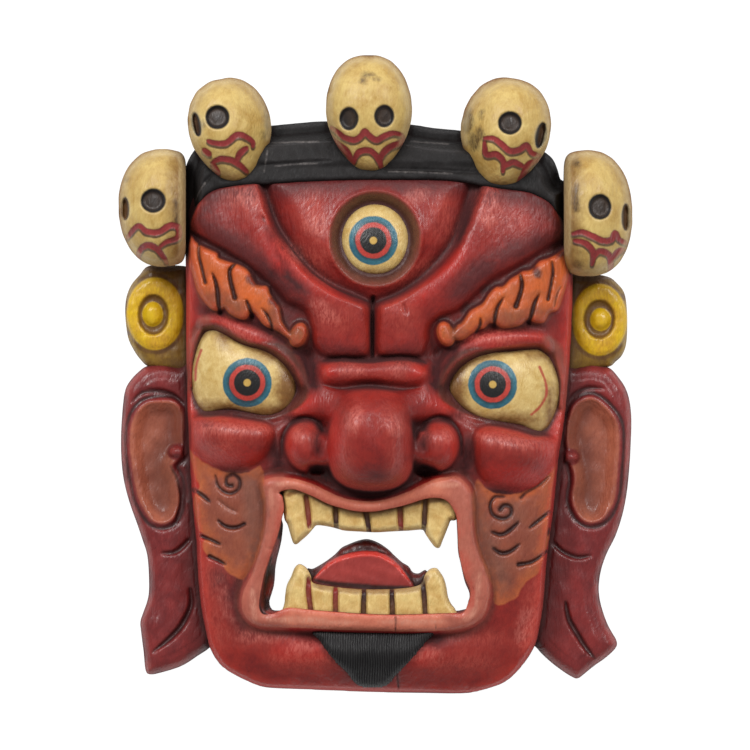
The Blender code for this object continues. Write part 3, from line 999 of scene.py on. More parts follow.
RED_FACE = PaintedWood(
    "red_lacquer_face",
    Coat((158, 43, 34), (120, 30, 28)),
    (
        # painted shade: dark maroon where shade falls, on low parts, under the hair band and along the frown
        # groove
        Coat((84, 28, 29), (68, 25, 27), "dusky", soft=5.0, ragged=8.0, cover=0.8),
        # painted shade, near black, in the creases, round the bridge roll and under the nose
        Coat((44, 19, 21), (58, 23, 25), "valley", soft=2.6, ragged=5.0, cover=0.85),
        # brighter red paint, partly painted light on lit sides, crests, lids and the face's lower sides
        Coat((194, 42, 32), (176, 38, 32), "glow", soft=3.5, ragged=6.0, cover=0.8, streaky=0.4),
        # painted highlight: pale pink streaky patches where the lamps' highlights fall
        Coat((204, 96, 82), (184, 76, 64), "rubbed", soft=5.0, ragged=9.0, cover=0.55, streaky=0.9),
        # painted glints: small streaky pale pink highlights
        Coat((226, 140, 128), (206, 110, 98), "sheen", soft=2.5, ragged=6.0, cover=0.5, streaky=0.9),
        Coat((150, 84, 70), (124, 66, 56), "lid", soft=1.5, ragged=2.0, cover=0.8),
        Coat((94, 52, 42), (66, 36, 31), "socket", soft=1.2, ragged=1.6, cover=0.85),
        Coat((110, 66, 50), (84, 48, 38), "ring", soft=0.6, cover=0.9),
        Coat((56, 34, 30), (66, 38, 32), "ring", grow=-4.0, soft=1.5, ragged=5.0, cover=0.7),
        Coat((204, 44, 36), (180, 38, 34), "lip", grow=2.2, soft=0.8, ragged=4.0, cover=0.5),
        Coat((226, 134, 106), (196, 108, 86), "lip"),
        Coat((184, 104, 88), (156, 84, 70), "lip_side", soft=4.0, ragged=4.0, cover=0.75),
        # painted highlights on the lips
        Coat((236, 172, 148), (212, 140, 116), "lip_light", soft=1.0, ragged=3.0, cover=0.7, streaky=0.8),
        Coat((214, 98, 36), (168, 86, 46), "brow"),
        Coat((150, 84, 54), (112, 62, 46), "brow_tip", soft=3.0, ragged=7.0, cover=0.8),
        Coat((50, 27, 27), (64, 32, 30), "brow_shade", soft=1.2, ragged=3.0, cover=0.85),
        Coat((196, 106, 60), (176, 84, 50), "cheek_paint", soft=0.6, ragged=2.0),
        Coat((144, 78, 60), (116, 60, 50), "cheek_paint", grow=-4.0, soft=4.0, ragged=9.0, cover=0.8),
        Coat((140, 90, 74), (108, 66, 54), "dust", soft=4.0, ragged=8.0, cover=0.75),
        Coat((40, 25, 24), (54, 28, 28), "ink", soft=0.5, ragged=0.7, cover=0.9),
        Coat((34, 18, 16), (28, 16, 15), "mouth", soft=0.3),
        WOOD_BEHIND,
    ),
    worn_and_highlight=(198, 68, 54),
    glaze=(62, 22, 23),
    deep=(60, 25, 26),
    shine=0.4,
)

BLACK_HAIR = PaintedWood(
    "black_painted_hair",
    Coat((36, 33, 33), (26, 24, 24)),
    (
        # pale lines on the black, mostly painted glints along the steps' edges, a few scratched marks
        Coat((150, 142, 138), (96, 90, 90), "scratch", soft=0.4, ragged=1.6, cover=0.75, streaky=0.6),
        WOOD_BEHIND,
    ),
    worn_and_highlight=(76, 73, 74),
    glaze=(18, 15, 15),
    wear_and_highlight=0.25,
    age=0.35,
    roughness=0.5,
    shine=0.2,
)

AGED_SKULL = PaintedWood(
    "aged_cream_skull",
    Coat((220, 193, 120), (176, 138, 68)),
    (
        # brown glaze and painted shade towards the skull's sides and where the hair band hides it
        Coat((132, 88, 34), (98, 62, 30), "silhouette", soft=4.5, ragged=6.0, cover=0.8),
        # dark outline round each line, and a painted shadow below it
        Coat((66, 30, 26), (48, 26, 24), "line_dark", grow=0.3, soft=0.4, cover=0.9),
        Coat((160, 54, 52), (120, 40, 40), "line_red", soft=0.4, ragged=1.2),
        # dark brown patches: scuffed paint, and painted shade on the sides towards the band
        Coat((64, 42, 28), (50, 34, 26), "worn_patch", soft=1.6, ragged=5.0, cover=0.85, streaky=0.4),
        Coat((28, 25, 25), (36, 32, 32), "eye", soft=0.5),
    ),
    worn_and_highlight=(232, 212, 160),
    glaze=(124, 82, 30),
    deep=(62, 40, 26),
    wear_and_highlight=0.3,
    roughness=0.38,
)

PAINTED_EYE = PaintedWood(
    "painted_eye",
    Coat((234, 208, 142), (196, 158, 84)),
    (
        Coat((150, 104, 44), (112, 74, 36), "stain", soft=4.0, ragged=8.0, cover=0.95),
        Coat((128, 84, 40), (96, 60, 34), "rim", grow=0.2, soft=2.0, ragged=3.0, cover=0.8),
        Coat((184, 54, 46), (170, 46, 40), "arc", soft=0.4, ragged=0.8, cover=0.85),
        Coat((26, 78, 98), (62, 118, 132), "gaze", grow=14.6, ragged=1.0),
        Coat((40, 46, 47), (34, 40, 42), "gaze", grow=11.8, soft=0.9, ragged=2.4, cover=0.75),
        Coat((204, 66, 54), (158, 54, 46), "gaze", grow=10.7, ragged=1.0),
        Coat((28, 25, 25), (22, 20, 20), "gaze", grow=7.9, ragged=0.8),
        Coat((204, 168, 88), (190, 152, 74), "gaze", grow=2.2, ragged=0.3),
    ),
    worn_and_highlight=(238, 216, 158),
    glaze=(100, 62, 32),
    deep=(60, 38, 26),
    wear_and_highlight=0.04,
    age=0.45,
    stroke=0.6,
    relief=0.6,
)

AGED_TOOTH = PaintedWood(
    "aged_cream_tooth",
    Coat((240, 210, 138), (200, 156, 84)),
    (
        Coat((150, 100, 42), (112, 66, 32), "gum", soft=0.8, ragged=1.5, cover=0.85),
        Coat((150, 48, 42), (116, 38, 36), "gap_red", soft=0.3, ragged=0.8),
        Coat((66, 32, 32), (48, 27, 26), "gap_dark", soft=0.3, ragged=0.8),
    ),
    worn_and_highlight=(244, 224, 168),
    glaze=(138, 90, 40),
    deep=(78, 50, 30),
    wear_and_highlight=0.25,
    age=0.8,
    stroke=0.7,
)

RED_TONGUE = PaintedWood(
    "red_tongue",
    Coat((74, 24, 23), (58, 22, 22)),
    (
        Coat((178, 66, 60), (152, 52, 48), "front"),
        Coat((64, 26, 24), (54, 24, 22), "foot_line", soft=0.8),
        Coat((226, 62, 48), (206, 56, 46), "rim_line", soft=0.5),
    ),
    worn_and_highlight=(190, 60, 50),
    glaze=(52, 20, 18),
    wear_and_highlight=0.2,
)

RED_EAR = PaintedWood(
    "red_lacquer_ear",
    Coat((142, 44, 42), (102, 32, 34)),
    (
        # a paler line round the ear's hollow: pink paint that also serves as the highlight on its rim
        Coat((176, 98, 80), (150, 76, 62), "ear_rim", soft=0.5, cover=0.4),
        Coat((184, 106, 78), (140, 74, 56), "inner_ear", soft=0.5),
        Coat((106, 58, 46), (88, 48, 40), "inner_shade", soft=5.0, ragged=8.0, cover=0.4),
        Coat((40, 24, 24), (50, 27, 27), "ink", grow=0.2, soft=0.6, ragged=0.9, cover=0.85),
        WOOD_BEHIND,
    ),
    worn_and_highlight=(186, 76, 68),
    glaze=(72, 26, 27),
    deep=(76, 30, 29),
    wear_and_highlight=0.35,
)

GOLDEN_STUD = PaintedWood(
    "golden_ear_stud",
    Coat((152, 118, 34), (104, 70, 34)),
    (
        Coat((84, 54, 30), (70, 44, 28), "stud_ring", grow=1.6, soft=0.8, cover=0.8),
        Coat((236, 196, 14), (206, 156, 34), "stud_ring", grow=-0.4, soft=0.6, ragged=1.6),
        Coat(
            (150, 104, 38), (118, 78, 38), "stud_ring",
            grow=-3.0, soft=6.0, ragged=16.0, cover=0.35, streaky=0.8,
        ),
        Coat((126, 90, 36), (92, 60, 32), "stud_groove", soft=0.7, ragged=1.2, cover=0.95),
        Coat((220, 182, 12), (206, 162, 20), "boss", soft=0.4),
        WOOD_BEHIND,
    ),
    worn_and_highlight=(222, 186, 80),
    glaze=(86, 54, 26),
    deep=(52, 34, 22),
    wear_and_highlight=0.3,
    age=0.4,
)

BLACK_BEARD = PaintedWood(
    "black_painted_beard",
    Coat((42, 40, 40), (28, 26, 27)),
    (),
    worn_and_highlight=(84, 80, 81),
    glaze=(20, 16, 16),
    wear_and_highlight=0.5,
    roughness=0.42,
    shine=0.35,
)


# The face


FACE_OUTLINE: Points = (
    (52, -190.3), (65, -188), (78, -183), (88, -173), (96, -161), (99, -150), (101, -135), (103, -110),
    (107, -80), (110, -50), (113, -30), (116, 0), (118, 40), (118, 75), (118, 100), (117, 113), (111, 116),
    (108.5, 122), (105, 128), (99, 133), (88, 138.5), (70, 142.5), (51, 144.5), (35, 146), (22, 148),
    (0, 149.5), (-30, 150), (-61, 147.5), (-75, 146.5), (-90, 143.5), (-103, 137.5), (-110, 129.5),
    (-113.5, 120), (-114.3, 112), (-114.3, 95), (-113.5, 75), (-113, 50), (-113, 20), (-112.5, -10),
    (-111, -50), (-109, -80), (-107, -100), (-106, -120), (-104, -140), (-101, -156), (-97, -166),
    (-90, -175), (-78, -182), (-66, -186.5), (-50, -187.5), (-25, -188.5), (0, -189.5), (30, -190),
)
LIP_OUTER: Points = (
    (-65, -63), (-58, -61.5), (-50, -62), (-42, -64), (-35, -66.5), (-28, -70), (-20, -73.5), (-12, -75.3),
    (-3, -75.8), (5, -75), (12, -73), (20, -70), (28, -66), (36, -62.5), (42, -61.5), (48, -61), (53, -64),
    (57, -70), (58, -77), (58, -90), (59, -98), (62, -108), (66, -118), (68, -127), (67.5, -135), (65, -143),
    (59, -149), (50, -152), (40, -153), (20, -153.5), (0, -153), (-20, -152.5), (-40, -151.5), (-60, -151),
    (-70, -150), (-76, -146), (-79, -140), (-79, -133), (-77, -127), (-73, -119), (-70, -110), (-67, -100),
    (-65, -90), (-64.5, -80), (-66, -72), (-67, -66),
)
LIP_INNER: Points = (
    (-57, -71), (-54, -69.5), (-48, -69), (-42, -71), (-36, -73.5), (-28, -77.5), (-20, -80), (-10, -82),
    (0, -82), (8, -80.5), (15, -79), (22, -77), (28, -75), (34, -74), (40, -74.5), (44, -77), (46.5, -81),
    (48.5, -86), (49, -95), (49.5, -105), (51, -113), (53.5, -122), (56, -127), (56.5, -132), (55, -137),
    (52, -142.5), (45, -142.5), (30, -143), (12, -143.5), (-6, -143), (-20, -142), (-38, -140.5), (-50, -139),
    (-55, -140), (-61, -143), (-67, -143), (-69, -138), (-68, -130), (-66, -120), (-62, -108), (-58, -97),
    (-55, -85), (-54, -80), (-55, -73),
)
THROAT: Points = (
    (-54, -74), (-54.8, -90), (-55.5, -98), (-57, -105), (-58.5, -111), (-59.5, -117), (-60, -125),
    (-61.5, -131), (-63, -136), (-62, -140), (-58, -141.5), (-40, -140), (0, -142), (50, -141.5),
    (55.5, -136), (56.3, -131), (53.5, -124), (51, -113), (49.5, -106), (49, -95), (48, -84), (44, -77),
    (0, -83),
)


@dataclass(frozen=True)
class Forehead:
    """The brow muscles, the shield between them with its ring, and the frown."""

    left_muscle: Points = (
        (-70, 120), (-60, 92), (-50, 76), (-37, 61), (-25, 53), (-12, 47), (-4, 42), (-2.8, 30), (-3, 14),
        (-8, 9.5), (-22, 9), (-31, 11), (-36, 17), (-38, 28), (-42, 37), (-52, 42), (-58, 48), (-66, 56),
        (-76, 64), (-88, 72), (-100, 79), (-110, 85), (-114, 94), (-110, 108), (-98, 116), (-84, 120),
    )
    right_muscle: Points = (
        (2, 42), (12, 46), (24, 53), (36, 61), (46, 72), (54, 88), (60, 104), (66, 120), (80, 118),
        (97, 114), (110, 106), (116, 94), (116, 82), (104, 76), (93, 69), (82, 62.5), (70, 56), (60, 47),
        (50, 38), (40, 34), (33, 28), (31, 18), (28, 11), (18, 9), (6, 9.5), (1, 14), (0.5, 30),
    )
    shield: Points = (
        (-64, 122), (-56.5, 93), (-48, 78.5), (-36, 64.5), (-23, 55), (-11, 49.5), (-1, 46.5), (9, 49.5),
        (20, 56), (32, 67), (42.5, 80.5), (49.5, 97), (55, 122),
    )
    frown_groove: Points = (
        (-66, 113), (-60, 92), (-51, 76), (-38, 61), (-25, 51.5), (-12, 46), (-1, 42.5), (10, 46), (22, 53),
        (35, 65), (46, 79), (53, 96), (57, 113),
    )
    ring_centre: tuple[float, float] = (0.0, 80.0)
    ring_size: tuple[float, float] = (27.5, 28.5)
    ring_depth: float = 8.0
    dents: tuple[Gouge, ...] = (
        Gouge(((-66.5, 93.5), (-65.5, 89)), 1.2, 1.6, ink=-0.8),
        Gouge(((-55.5, 76), (-54.5, 72.5)), 1.1, 1.4, ink=-0.8),
        Gouge(((17, 41), (18.5, 35)), 1.3, 1.6, ink=-1.0),
        Gouge(((21.5, 107), (24, 110), (30, 110.5), (38, 109)), 0.5, 0.5, ink=-0.45),
    )

    def carve(self, relief: Relief) -> np.ndarray:
        """Carves the forehead.

        Args:
            relief: the face's relief.

        Returns:
            The distance inside the third eye's ring.
        """
        grid = relief.grid
        beside = -grid.stroke(self.frown_groove, 0.1, reach=30)
        crest = 2.2 * bell(beside - 11, 8) + 1.6 * bell(beside - 4.6, 2.4)
        for outline in (self.left_muscle, self.right_muscle):
            inside = grid.inside(outline)
            relief.pad(inside, 1.5, 9, 7.5, fall=3)
            relief.height = relief.height + crest * ease(inside, 0, 4)
        shield = grid.inside(self.shield)
        slope = relief.base + 1.5 + 7 * ease(shield, -2, 14)
        relief.height = soft_max(relief.height, slope, 1.5)
        middle = Gouge(((-1.2, 45), (-1.5, 38), (-1.8, 25), (-1.6, 10)), 1.2, 4, (1, 0.8), -0.3)
        relief.cut((Gouge(self.frown_groove, 2.6, 3.0, (0.8, 0.8), -2.0),), soft=2.2)
        relief.cut((middle, *self.dents))
        ring = grid.oval(self.ring_centre, self.ring_size)
        relief.sink(ring, self.ring_depth, 7)
        relief.height = relief.height + 1.5 * bell(ring, 1.7) + 0.9 * bell(ring - 4, 1.0)
        return ring


@dataclass(frozen=True)
class EyeSocket:
    """The hollow round an eye with its lids."""

    eye: Points
    lid: Points
    lid_tips: tuple[float, float]
    lower_lid: Points
    inner_ridges: tuple[Points, ...]
    outer_rims: tuple[Points, ...]
    corner: tuple[float, float]

    def carve(self, relief: Relief) -> np.ndarray:
        """Carves the socket and the lids.

        Args:
            relief: the face's relief.

        Returns:
            The distance inside the glaze round the eye, widest towards the nose.
        """
        grid = relief.grid
        eye = grid.inside(self.eye)
        relief.height = relief.height - 6 * ease(eye, -11, -1)
        dx, dy = grid.x - self.corner[0], grid.y - self.corner[1]
        relief.height = relief.height - 6 * bell(np.hypot(dx, dy), 9)
        lid = grid.stroke(self.lid, 6.6, self.lid_tips)
        relief.pad(lid, -2, 6.5, 7.5, fall=1.4, blend=2.5, smooth=1.2)
        relief.pad(grid.stroke(self.lower_lid, 2.2, (0.4, 0.4)), -2.5, 2.2, 2, fall=0.8, blend=3)
        for line in self.inner_ridges:
            relief.welt(line, 1.3, 1.6)
        for line in self.outer_rims:
            relief.pad(grid.stroke(line, 2.7, (0.6, 0.6)), -4, 2.7, 5, fall=2)
        return eye + 3.6 + 5 * ease(-np.abs(grid.x), -72, -50) * ease(grid.y, -26, -14)


LEFT_SOCKET = EyeSocket(
    eye=(
        (-96, 26), (-100, 24.5), (-104, 19), (-106.5, 12), (-108.5, 3), (-108.5, -5), (-106.5, -14),
        (-103.5, -20), (-100, -22.5), (-90, -20.5), (-85, -20.3), (-77, -22), (-68, -24), (-62, -24),
        (-55, -21), (-50, -16), (-48, -8), (-50, 0), (-55, 7), (-60, 11.5), (-66, 14), (-75, 15.5), (-82, 18),
        (-88, 22),
        (-92, 25),
    ),
    lid=(
        (-103, 31), (-95, 32), (-86, 28.5), (-76, 23.5), (-66, 20.5), (-57, 16), (-49, 8.5), (-43, -1),
        (-38.5, -11)
    ),
    lid_tips=(0.7, 0.36),
    lower_lid=((-104, -25), (-92, -24), (-78, -25.5), (-66, -27.5), (-56, -25.5), (-47, -19)),
    inner_ridges=(((-76, 18.5), (-64, 16.5), (-55, 11.5), (-48, 4), (-44, -6), (-44, -14)),),
    outer_rims=(((-101, 31), (-105.5, 24), (-109, 14), (-111, 3), (-110.5, -8)),),
    corner=(-42, 10),
)
RIGHT_SOCKET = EyeSocket(
    eye=(
        (46, -8), (50, 0), (55, 5.5), (62, 9.5), (70, 11), (80, 11), (90, 12), (97, 12.5), (101, 10),
        (105, 3), (108, -5), (108.5, -10), (107, -18), (104, -26), (101, -31), (97, -33.5), (93, -32),
        (88, -29.5), (80, -28), (70, -26.5), (62, -24), (55, -20), (49, -14),
    ),
    lid=((37, -10), (40, 0), (46, 8), (55, 14.5), (66, 18.5), (78, 21), (90, 21.5), (100, 20.5), (104, 16)),
    lid_tips=(0.36, 0.6),
    lower_lid=((44, -17), (52, -24), (62, -28), (78, -31), (90, -33.5), (100, -37)),
    inner_ridges=(((41, -12), (41.5, -4), (46, 4.5), (53, 10), (62, 13.5), (74, 15.5), (88, 16.5)),),
    outer_rims=(((103, 19), (108, 13), (111, 3), (112, -8), (111, -20)),),
    corner=(40, 10),
)


@dataclass(frozen=True)
class Eyebrow:
    """A flaming eyebrow that curls up at its inner end."""

    outline: Points
    curl: tuple[float, float]
    curl_turn: float
    grooves: tuple[Gouge, ...]
    curl_line: Points
    smudges: tuple[tuple[float, float, float, float, float], ...]

    def carve(self, relief: Relief) -> np.ndarray:
        """Carves the eyebrow.

        Args:
            relief: the face's relief.

        Returns:
            The distance inside its painted area.
        """
        grid = relief.grid
        inside = grid.inside(self.outline)
        knob = grid.oval(self.curl, (5.2, 7.6), self.curl_turn)
        painted = np.maximum(inside, knob)
        above = np.roll(painted, round(3.2 / grid.step), axis=0)
        smudged = grid.ovals(self.smudges)
        shade = np.maximum(np.minimum(above, 0.4 - painted), smudged)
        relief.brow_shade = np.maximum(relief.brow_shade, shade)
        relief.pad(inside, 5.5, 4, 4, fall=4)
        relief.pad(knob, 5, 4, 5, fall=4)
        relief.cut(self.grooves, soft=0.7)
        relief.cut((Gouge(self.curl_line, 0.7, 0.8, ink=-1.2),))
        return painted


LEFT_BROW = Eyebrow(
    outline=(
        (-113, 78), (-110, 82), (-107, 79), (-103, 76), (-94, 72), (-93, 69), (-88, 67), (-80, 64.5),
        (-75, 61), (-70, 53), (-64, 52), (-62, 47), (-57, 40), (-56, 36), (-54.5, 30), (-51, 25), (-44, 19),
        (-47, 17), (-52, 21), (-56, 24), (-61, 26.5), (-65, 28), (-68, 31), (-72, 36), (-74.5, 35), (-77, 32),
        (-82, 33), (-87, 36), (-90, 40), (-91, 38), (-96, 37.5), (-101, 42), (-105, 48), (-107, 53),
        (-109, 60), (-112, 68),
    ),
    curl=(-45.5, 23),
    curl_turn=-20,
    curl_line=((-49.5, 23), (-46.5, 26.5), (-43.5, 24), (-44.5, 20)),
    grooves=(
        Gouge(((-104.6, 78), (-105, 71), (-103.4, 64), (-102, 58), (-101, 54)), 1.1, 3, (0.5, 1.1), -0.2),
        Gouge(
            ((-97.1, 60.3), (-94.9, 54.6), (-93.7, 49), (-93.1, 41.4), (-92, 36)), 1.5, 3.5, (0.2, 1.0), -0.2
        ),
        Gouge(
            ((-83.4, 65), (-86.3, 61.4), (-86, 55.7), (-84.6, 50), (-83.3, 45)), 1.5, 3.5, (0.6, 1.1), -0.2
        ),
        Gouge(((-76.6, 43.7), (-74.5, 38.6), (-73, 34)), 1.3, 3, (0.3, 1.0), -0.2),
        Gouge(((-67.4, 38.6), (-64, 34.6), (-61.7, 29.4), (-61, 26)), 1.1, 2.5, (0.3, 0.9), -0.2),
        Gouge(((-110.6, 74.6), (-109.7, 67), (-109.1, 62)), 0.8, 1.5, ink=-0.5),
    ),
    smudges=(
        (-91.8, 72.3, 4.5, 2.4, -30), (-72.5, 55.5, 4.8, 3.2, -35), (-60, 43, 3.6, 3, -45),
        (-103, 80, 5, 1.5, -30)
    ),
)
RIGHT_BROW = Eyebrow(
    outline=(
        (117, 78), (109, 72), (104, 69), (98, 67), (93, 62), (88, 61), (85, 59), (80, 56), (76, 52),
        (72, 51.5), (68, 48), (64, 42), (60, 39.5), (56, 37), (52, 31), (48, 28), (45, 22), (48, 20),
        (52, 20), (58, 24), (62, 26), (65, 27), (68, 30), (72, 29), (76, 27), (82, 27.5), (87, 29), (90, 32),
        (93, 31), (98, 30), (101, 31), (104, 36), (109, 38), (112, 46), (115, 56), (117, 66), (117.5, 74),
    ),
    curl=(42, 23.5),
    curl_turn=20,
    curl_line=((46, 23), (43.5, 27.5), (40, 25), (41, 20)),
    grooves=(
        Gouge(((86.4, 58.6), (87.4, 53), (86.2, 47), (83.8, 40)), 1.5, 3.5, (0.6, 1.2), -0.2),
        Gouge(((105.4, 67), (106, 60.4), (104.8, 53), (103, 44)), 1.1, 3, (0.5, 1.1), -0.2),
        Gouge(((98, 47.5), (95, 42), (93, 34.6), (91.5, 30.5)), 1.4, 3.5, (0.2, 1.0), -0.2),
        Gouge(((76.5, 45), (72.9, 39.5), (71.3, 33), (71, 29)), 1.3, 3, (0.3, 1.0), -0.2),
        Gouge(((62.7, 33), (62.4, 28.5), (60, 24.5)), 1.1, 2.5, (0.3, 0.9), -0.2),
        Gouge(((111, 52), (108.5, 47), (107, 40)), 0.8, 1.8, (0.4, 0.9), -0.4),
    ),
    smudges=((96.3, 60.5, 2.6, 4, 20), (110.5, 71, 4, 2, 30), (67, 50.5, 5, 2, 25), (54, 38.5, 4, 2.4, 50)),
)


@dataclass(frozen=True)
class CheekFlames:
    """A round cheek over a patch of flames cut into the jaw."""

    cheek: Points
    middle: float  # level of the cheek's middle
    flames: Points
    grooves: tuple[Gouge, ...]

    def carve(self, relief: Relief) -> np.ndarray:
        """Carves the cheek and its flames.

        Args:
            relief: the face's relief.

        Returns:
            The distance inside the flames' painted area.
        """
        grid = relief.grid
        flames = grid.inside(self.flames)
        cheek = grid.inside(self.cheek)
        relief.pad(flames, -1, 5, 3, fall=1.5, blend=2)
        relief.cut(self.grooves)
        rise = 21 * (1 + 0.02 * np.clip(grid.y - self.middle, -16, 16))
        relief.swell(cheek, -4, rise)
        return np.minimum(flames, -cheek - 0.5)


LEFT_CHEEK = CheekFlames(
    cheek=(
        (-59.5, -41), (-58.5, -34), (-62.5, -29.5), (-70, -27.5), (-79, -26), (-89, -24.5), (-99, -24.5),
        (-110, -26), (-114.5, -34), (-111, -44), (-104, -51), (-94, -56.5), (-85, -59), (-76, -58),
        (-68, -53.5), (-62.5, -47.5),
    ),
    middle=-43,
    flames=(
        (-111, -42), (-109.5, -52), (-107, -62), (-104.5, -67), (-108, -74), (-107.5, -82), (-106, -90),
        (-103.5, -95), (-99.5, -97.5), (-103, -101), (-101, -107), (-96, -110.5), (-91, -113.5), (-88, -118),
        (-83, -121), (-79, -122.5), (-75, -118), (-70, -109), (-66.3, -95), (-65, -80), (-65.5, -68),
        (-68, -55), (-80, -50), (-100, -44),
    ),
    grooves=(
        Gouge(((-108, -69.5), (-103, -72.5), (-98.3, -76.5)), 1.3, 2.6, (1.2, 0.4)),
        Gouge(((-103.5, -97), (-98, -99), (-92.2, -101.7)), 1.1, 2.4, (1.2, 0.6)),
        Gouge(((-98.5, -109), (-94, -111), (-88.8, -113.8)), 1.1, 2.4, (1.2, 0.4)),
        Gouge(
            (
                (-95, -61), (-94, -66), (-90.5, -70), (-85.5, -71.5), (-81, -68.5), (-80.5, -63.5),
                (-84, -60.3), (-88.2, -62), (-88.2, -66.3), (-85, -67),
            ),
            1.1,
            2.2,
            (0.5, 1.2),
            -0.2,
        ),
        Gouge(((-93.5, -87.5), (-89, -91), (-83, -91.8), (-77.5, -89.5)), 1.2, 2.6, (0.5, 0.8)),
        Gouge(((-94, -74.8), (-88, -79.5), (-81.8, -82.6)), 0.9, 1.2, ink=-0.6),
    ),
)
RIGHT_CHEEK = CheekFlames(
    cheek=(
        (57.5, -48), (57.5, -37), (62.5, -31), (72, -30.5), (84, -33), (94, -36), (104, -37), (112, -42),
        (108, -54), (98, -65), (88, -70), (78, -71.5), (67.5, -69), (60.5, -60),
    ),
    middle=-51,
    flames=(
        (60, -64), (59.5, -95), (65, -115), (70, -127), (71, -136.5), (75, -138), (80, -135.5), (85, -133),
        (87, -128), (90.5, -124), (97, -119), (99.5, -113), (101.5, -106), (104, -98), (103, -90),
        (104.5, -80), (106, -66), (109, -45), (100, -44), (80, -50),
    ),
    grooves=(
        Gouge(
            (
                (77, -73.5), (71.5, -73.5), (68.5, -78), (70, -84), (75.5, -86.5), (80.5, -84.5), (81, -80),
                (77, -78.5), (74.5, -81)
            ),
            1.2,
            2.2,
            (0.5, 1.3),
            -0.2,
        ),
        Gouge(((69.4, -94.3), (75, -96), (80, -93.5), (85.5, -88.6)), 1.3, 2.6, (0.5, 0.4)),
        Gouge(((70.3, -104), (75, -107), (80.5, -106), (86, -101.7)), 1.3, 2.6, (0.5, 0.4)),
        Gouge(((85.5, -113.8), (94, -112), (102.4, -106)), 1.1, 2.6, (1.3, 0.8)),
        Gouge(((92, -92), (97, -88), (104, -82.6)), 1.2, 2.4, (0.5, 1.0)),
        Gouge(((87, -74), (90, -71), (97, -67), (104, -61)), 1.0, 1.8, (1.2, 0.4), -0.3),
        Gouge(((104, -92), (103, -97)), 0.9, 1.6),
    ),
)


@dataclass(frozen=True)
class Nose:
    """The bridge roll, the broad nose and its two wings."""

    outline: Points = (
        (-14, -9.5), (-21, -15), (-25.5, -24), (-28.5, -34), (-29.5, -45), (-28.3, -55), (-24, -63.5),
        (-15, -69), (-3, -71), (9, -70), (17.5, -66), (22.5, -59), (24.3, -48), (24, -36), (21.5, -25),
        (17, -15), (10, -9.5),
        (-2, -8.5),
    )
    foot: float = 66.0
    tip_rise: float = 45.0
    wings: tuple[tuple[float, float], ...] = ((-41.0, -43.0), (37.5, -43.0))
    wing_size: tuple[float, float] = (12.6, 15.4)
    wing_rise: float = 21.0
    bands: tuple[Points, ...] = (
        ((-40, -50), (-33, -50.5), (-25, -49)),
        ((37, -49), (29, -48.5), (20, -47)),
        ((-32, -40), (-27, -48)),
        ((29, -38), (24, -46)),
    )
    nostrils: tuple[tuple[float, float, float, float], ...] = ((-35, -56.3, 5.2, 2.8), (31, -57.5, 6.5, 3.4))
    flanks: Points = (
        (-30, 8), (28, 8), (35, -2), (39, -12), (46, -23), (38, -27.5), (0, -30), (-38, -27.5), (-50, -24.5),
        (-41, -12), (-36, -2),
    )
    roll: Points = (
        (-32, 0.5), (-30, 5), (-20, 7.6), (-4, 6.4), (10, 8), (21, 7.8), (29, 4), (31.5, -1), (27, -6),
        (15, -7.6), (-4, -5.6), (-20, -7.2), (-30, -4.6),
    )
    creases: tuple[Gouge, ...] = (
        Gouge(((-55.5, -50), (-55, -38), (-51, -30.5), (-43.5, -26.3), (-35, -28), (-31, -34)), 0.9, 1.6),
        Gouge(((27.5, -33), (31, -28), (38, -25.6), (45.8, -29), (50.8, -37), (51.5, -49)), 0.9, 1.6),
        Gouge(((-31, 7.5), (-20, 9.4), (-4, 8.2), (10, 9.8), (22, 9.6), (30.5, 6)), 0.9, 1.6),
        Gouge(((-31, -6.4), (-20, -9), (-4, -7.5), (14, -9.5), (26.5, -8)), 0.9, 1.6, ink=-0.3),
    )
    facets: tuple[Points, ...] = (
        ((-9, -14), (-14, -22), (-18, -33), (-18.5, -48), (-17, -60)),
        ((-9, -14), (-2, -20), (4, -28), (9, -40), (10, -58)),
        ((6, -14), (13, -19), (16, -27), (14, -36)),
        ((-21, -61.5), (-11, -64.5), (3, -65.5), (14, -62)),
    )

    def carve(self, relief: Relief) -> None:
        """Carves the nose."""
        grid = relief.grid
        relief.pad(grid.inside(self.flanks), 1, 10, 7, fall=1.2, blend=4, smooth=1.5)
        bridge = 24 * bell(np.hypot(grid.x + 1, 1.3 * (grid.y + 26)), 22)
        relief.height = relief.height + bridge * ease(grid.y, -46, -26) * ease(-grid.y, 4, 14)
        relief.pad(grid.inside(self.roll), 6.5, 6.5, 8, fall=3)
        for wing in self.wings:
            relief.ball(wing, self.wing_size, self.foot, self.wing_rise)
        body = grid.inside(self.outline)
        tilt = 1 - 0.002 * np.clip(grid.y + 45, 0, 40)
        form = self.tip_rise * tilt * inflate(body, grid.step) + 3 * np.minimum(body, 0)
        relief.height = soft_max(relief.height, self.foot + form, 2.5 + 11 * ease(grid.y, -44, -20))
        for band in self.bands:
            inside = grid.stroke(band, 3.6, (1, 1), reach=40)
            relief.height = soft_max(relief.height, self.foot + 13 + dome(inside, 3.6, 3.5, 3), 4)
        relief.height = relief.height - 2.4 * ease(grid.oval((-2, -46), (11, 18)), -6, 7)
        for x, y, rise in ((-12.5, -27, 4.0), (12.5, -29, 4.0)):
            relief.height = relief.height + rise * bell(np.hypot(grid.x - x, 0.8 * (grid.y - y)), 8)
        for line in self.facets:
            relief.welt(line, 2.4, 0.5)
        relief.cut(self.creases, soft=1.2)
        for x, y, width, height in self.nostrils:
            relief.height = relief.height - 9 * ease(grid.oval((x, y), (width, height)), -1.5, 2.5)


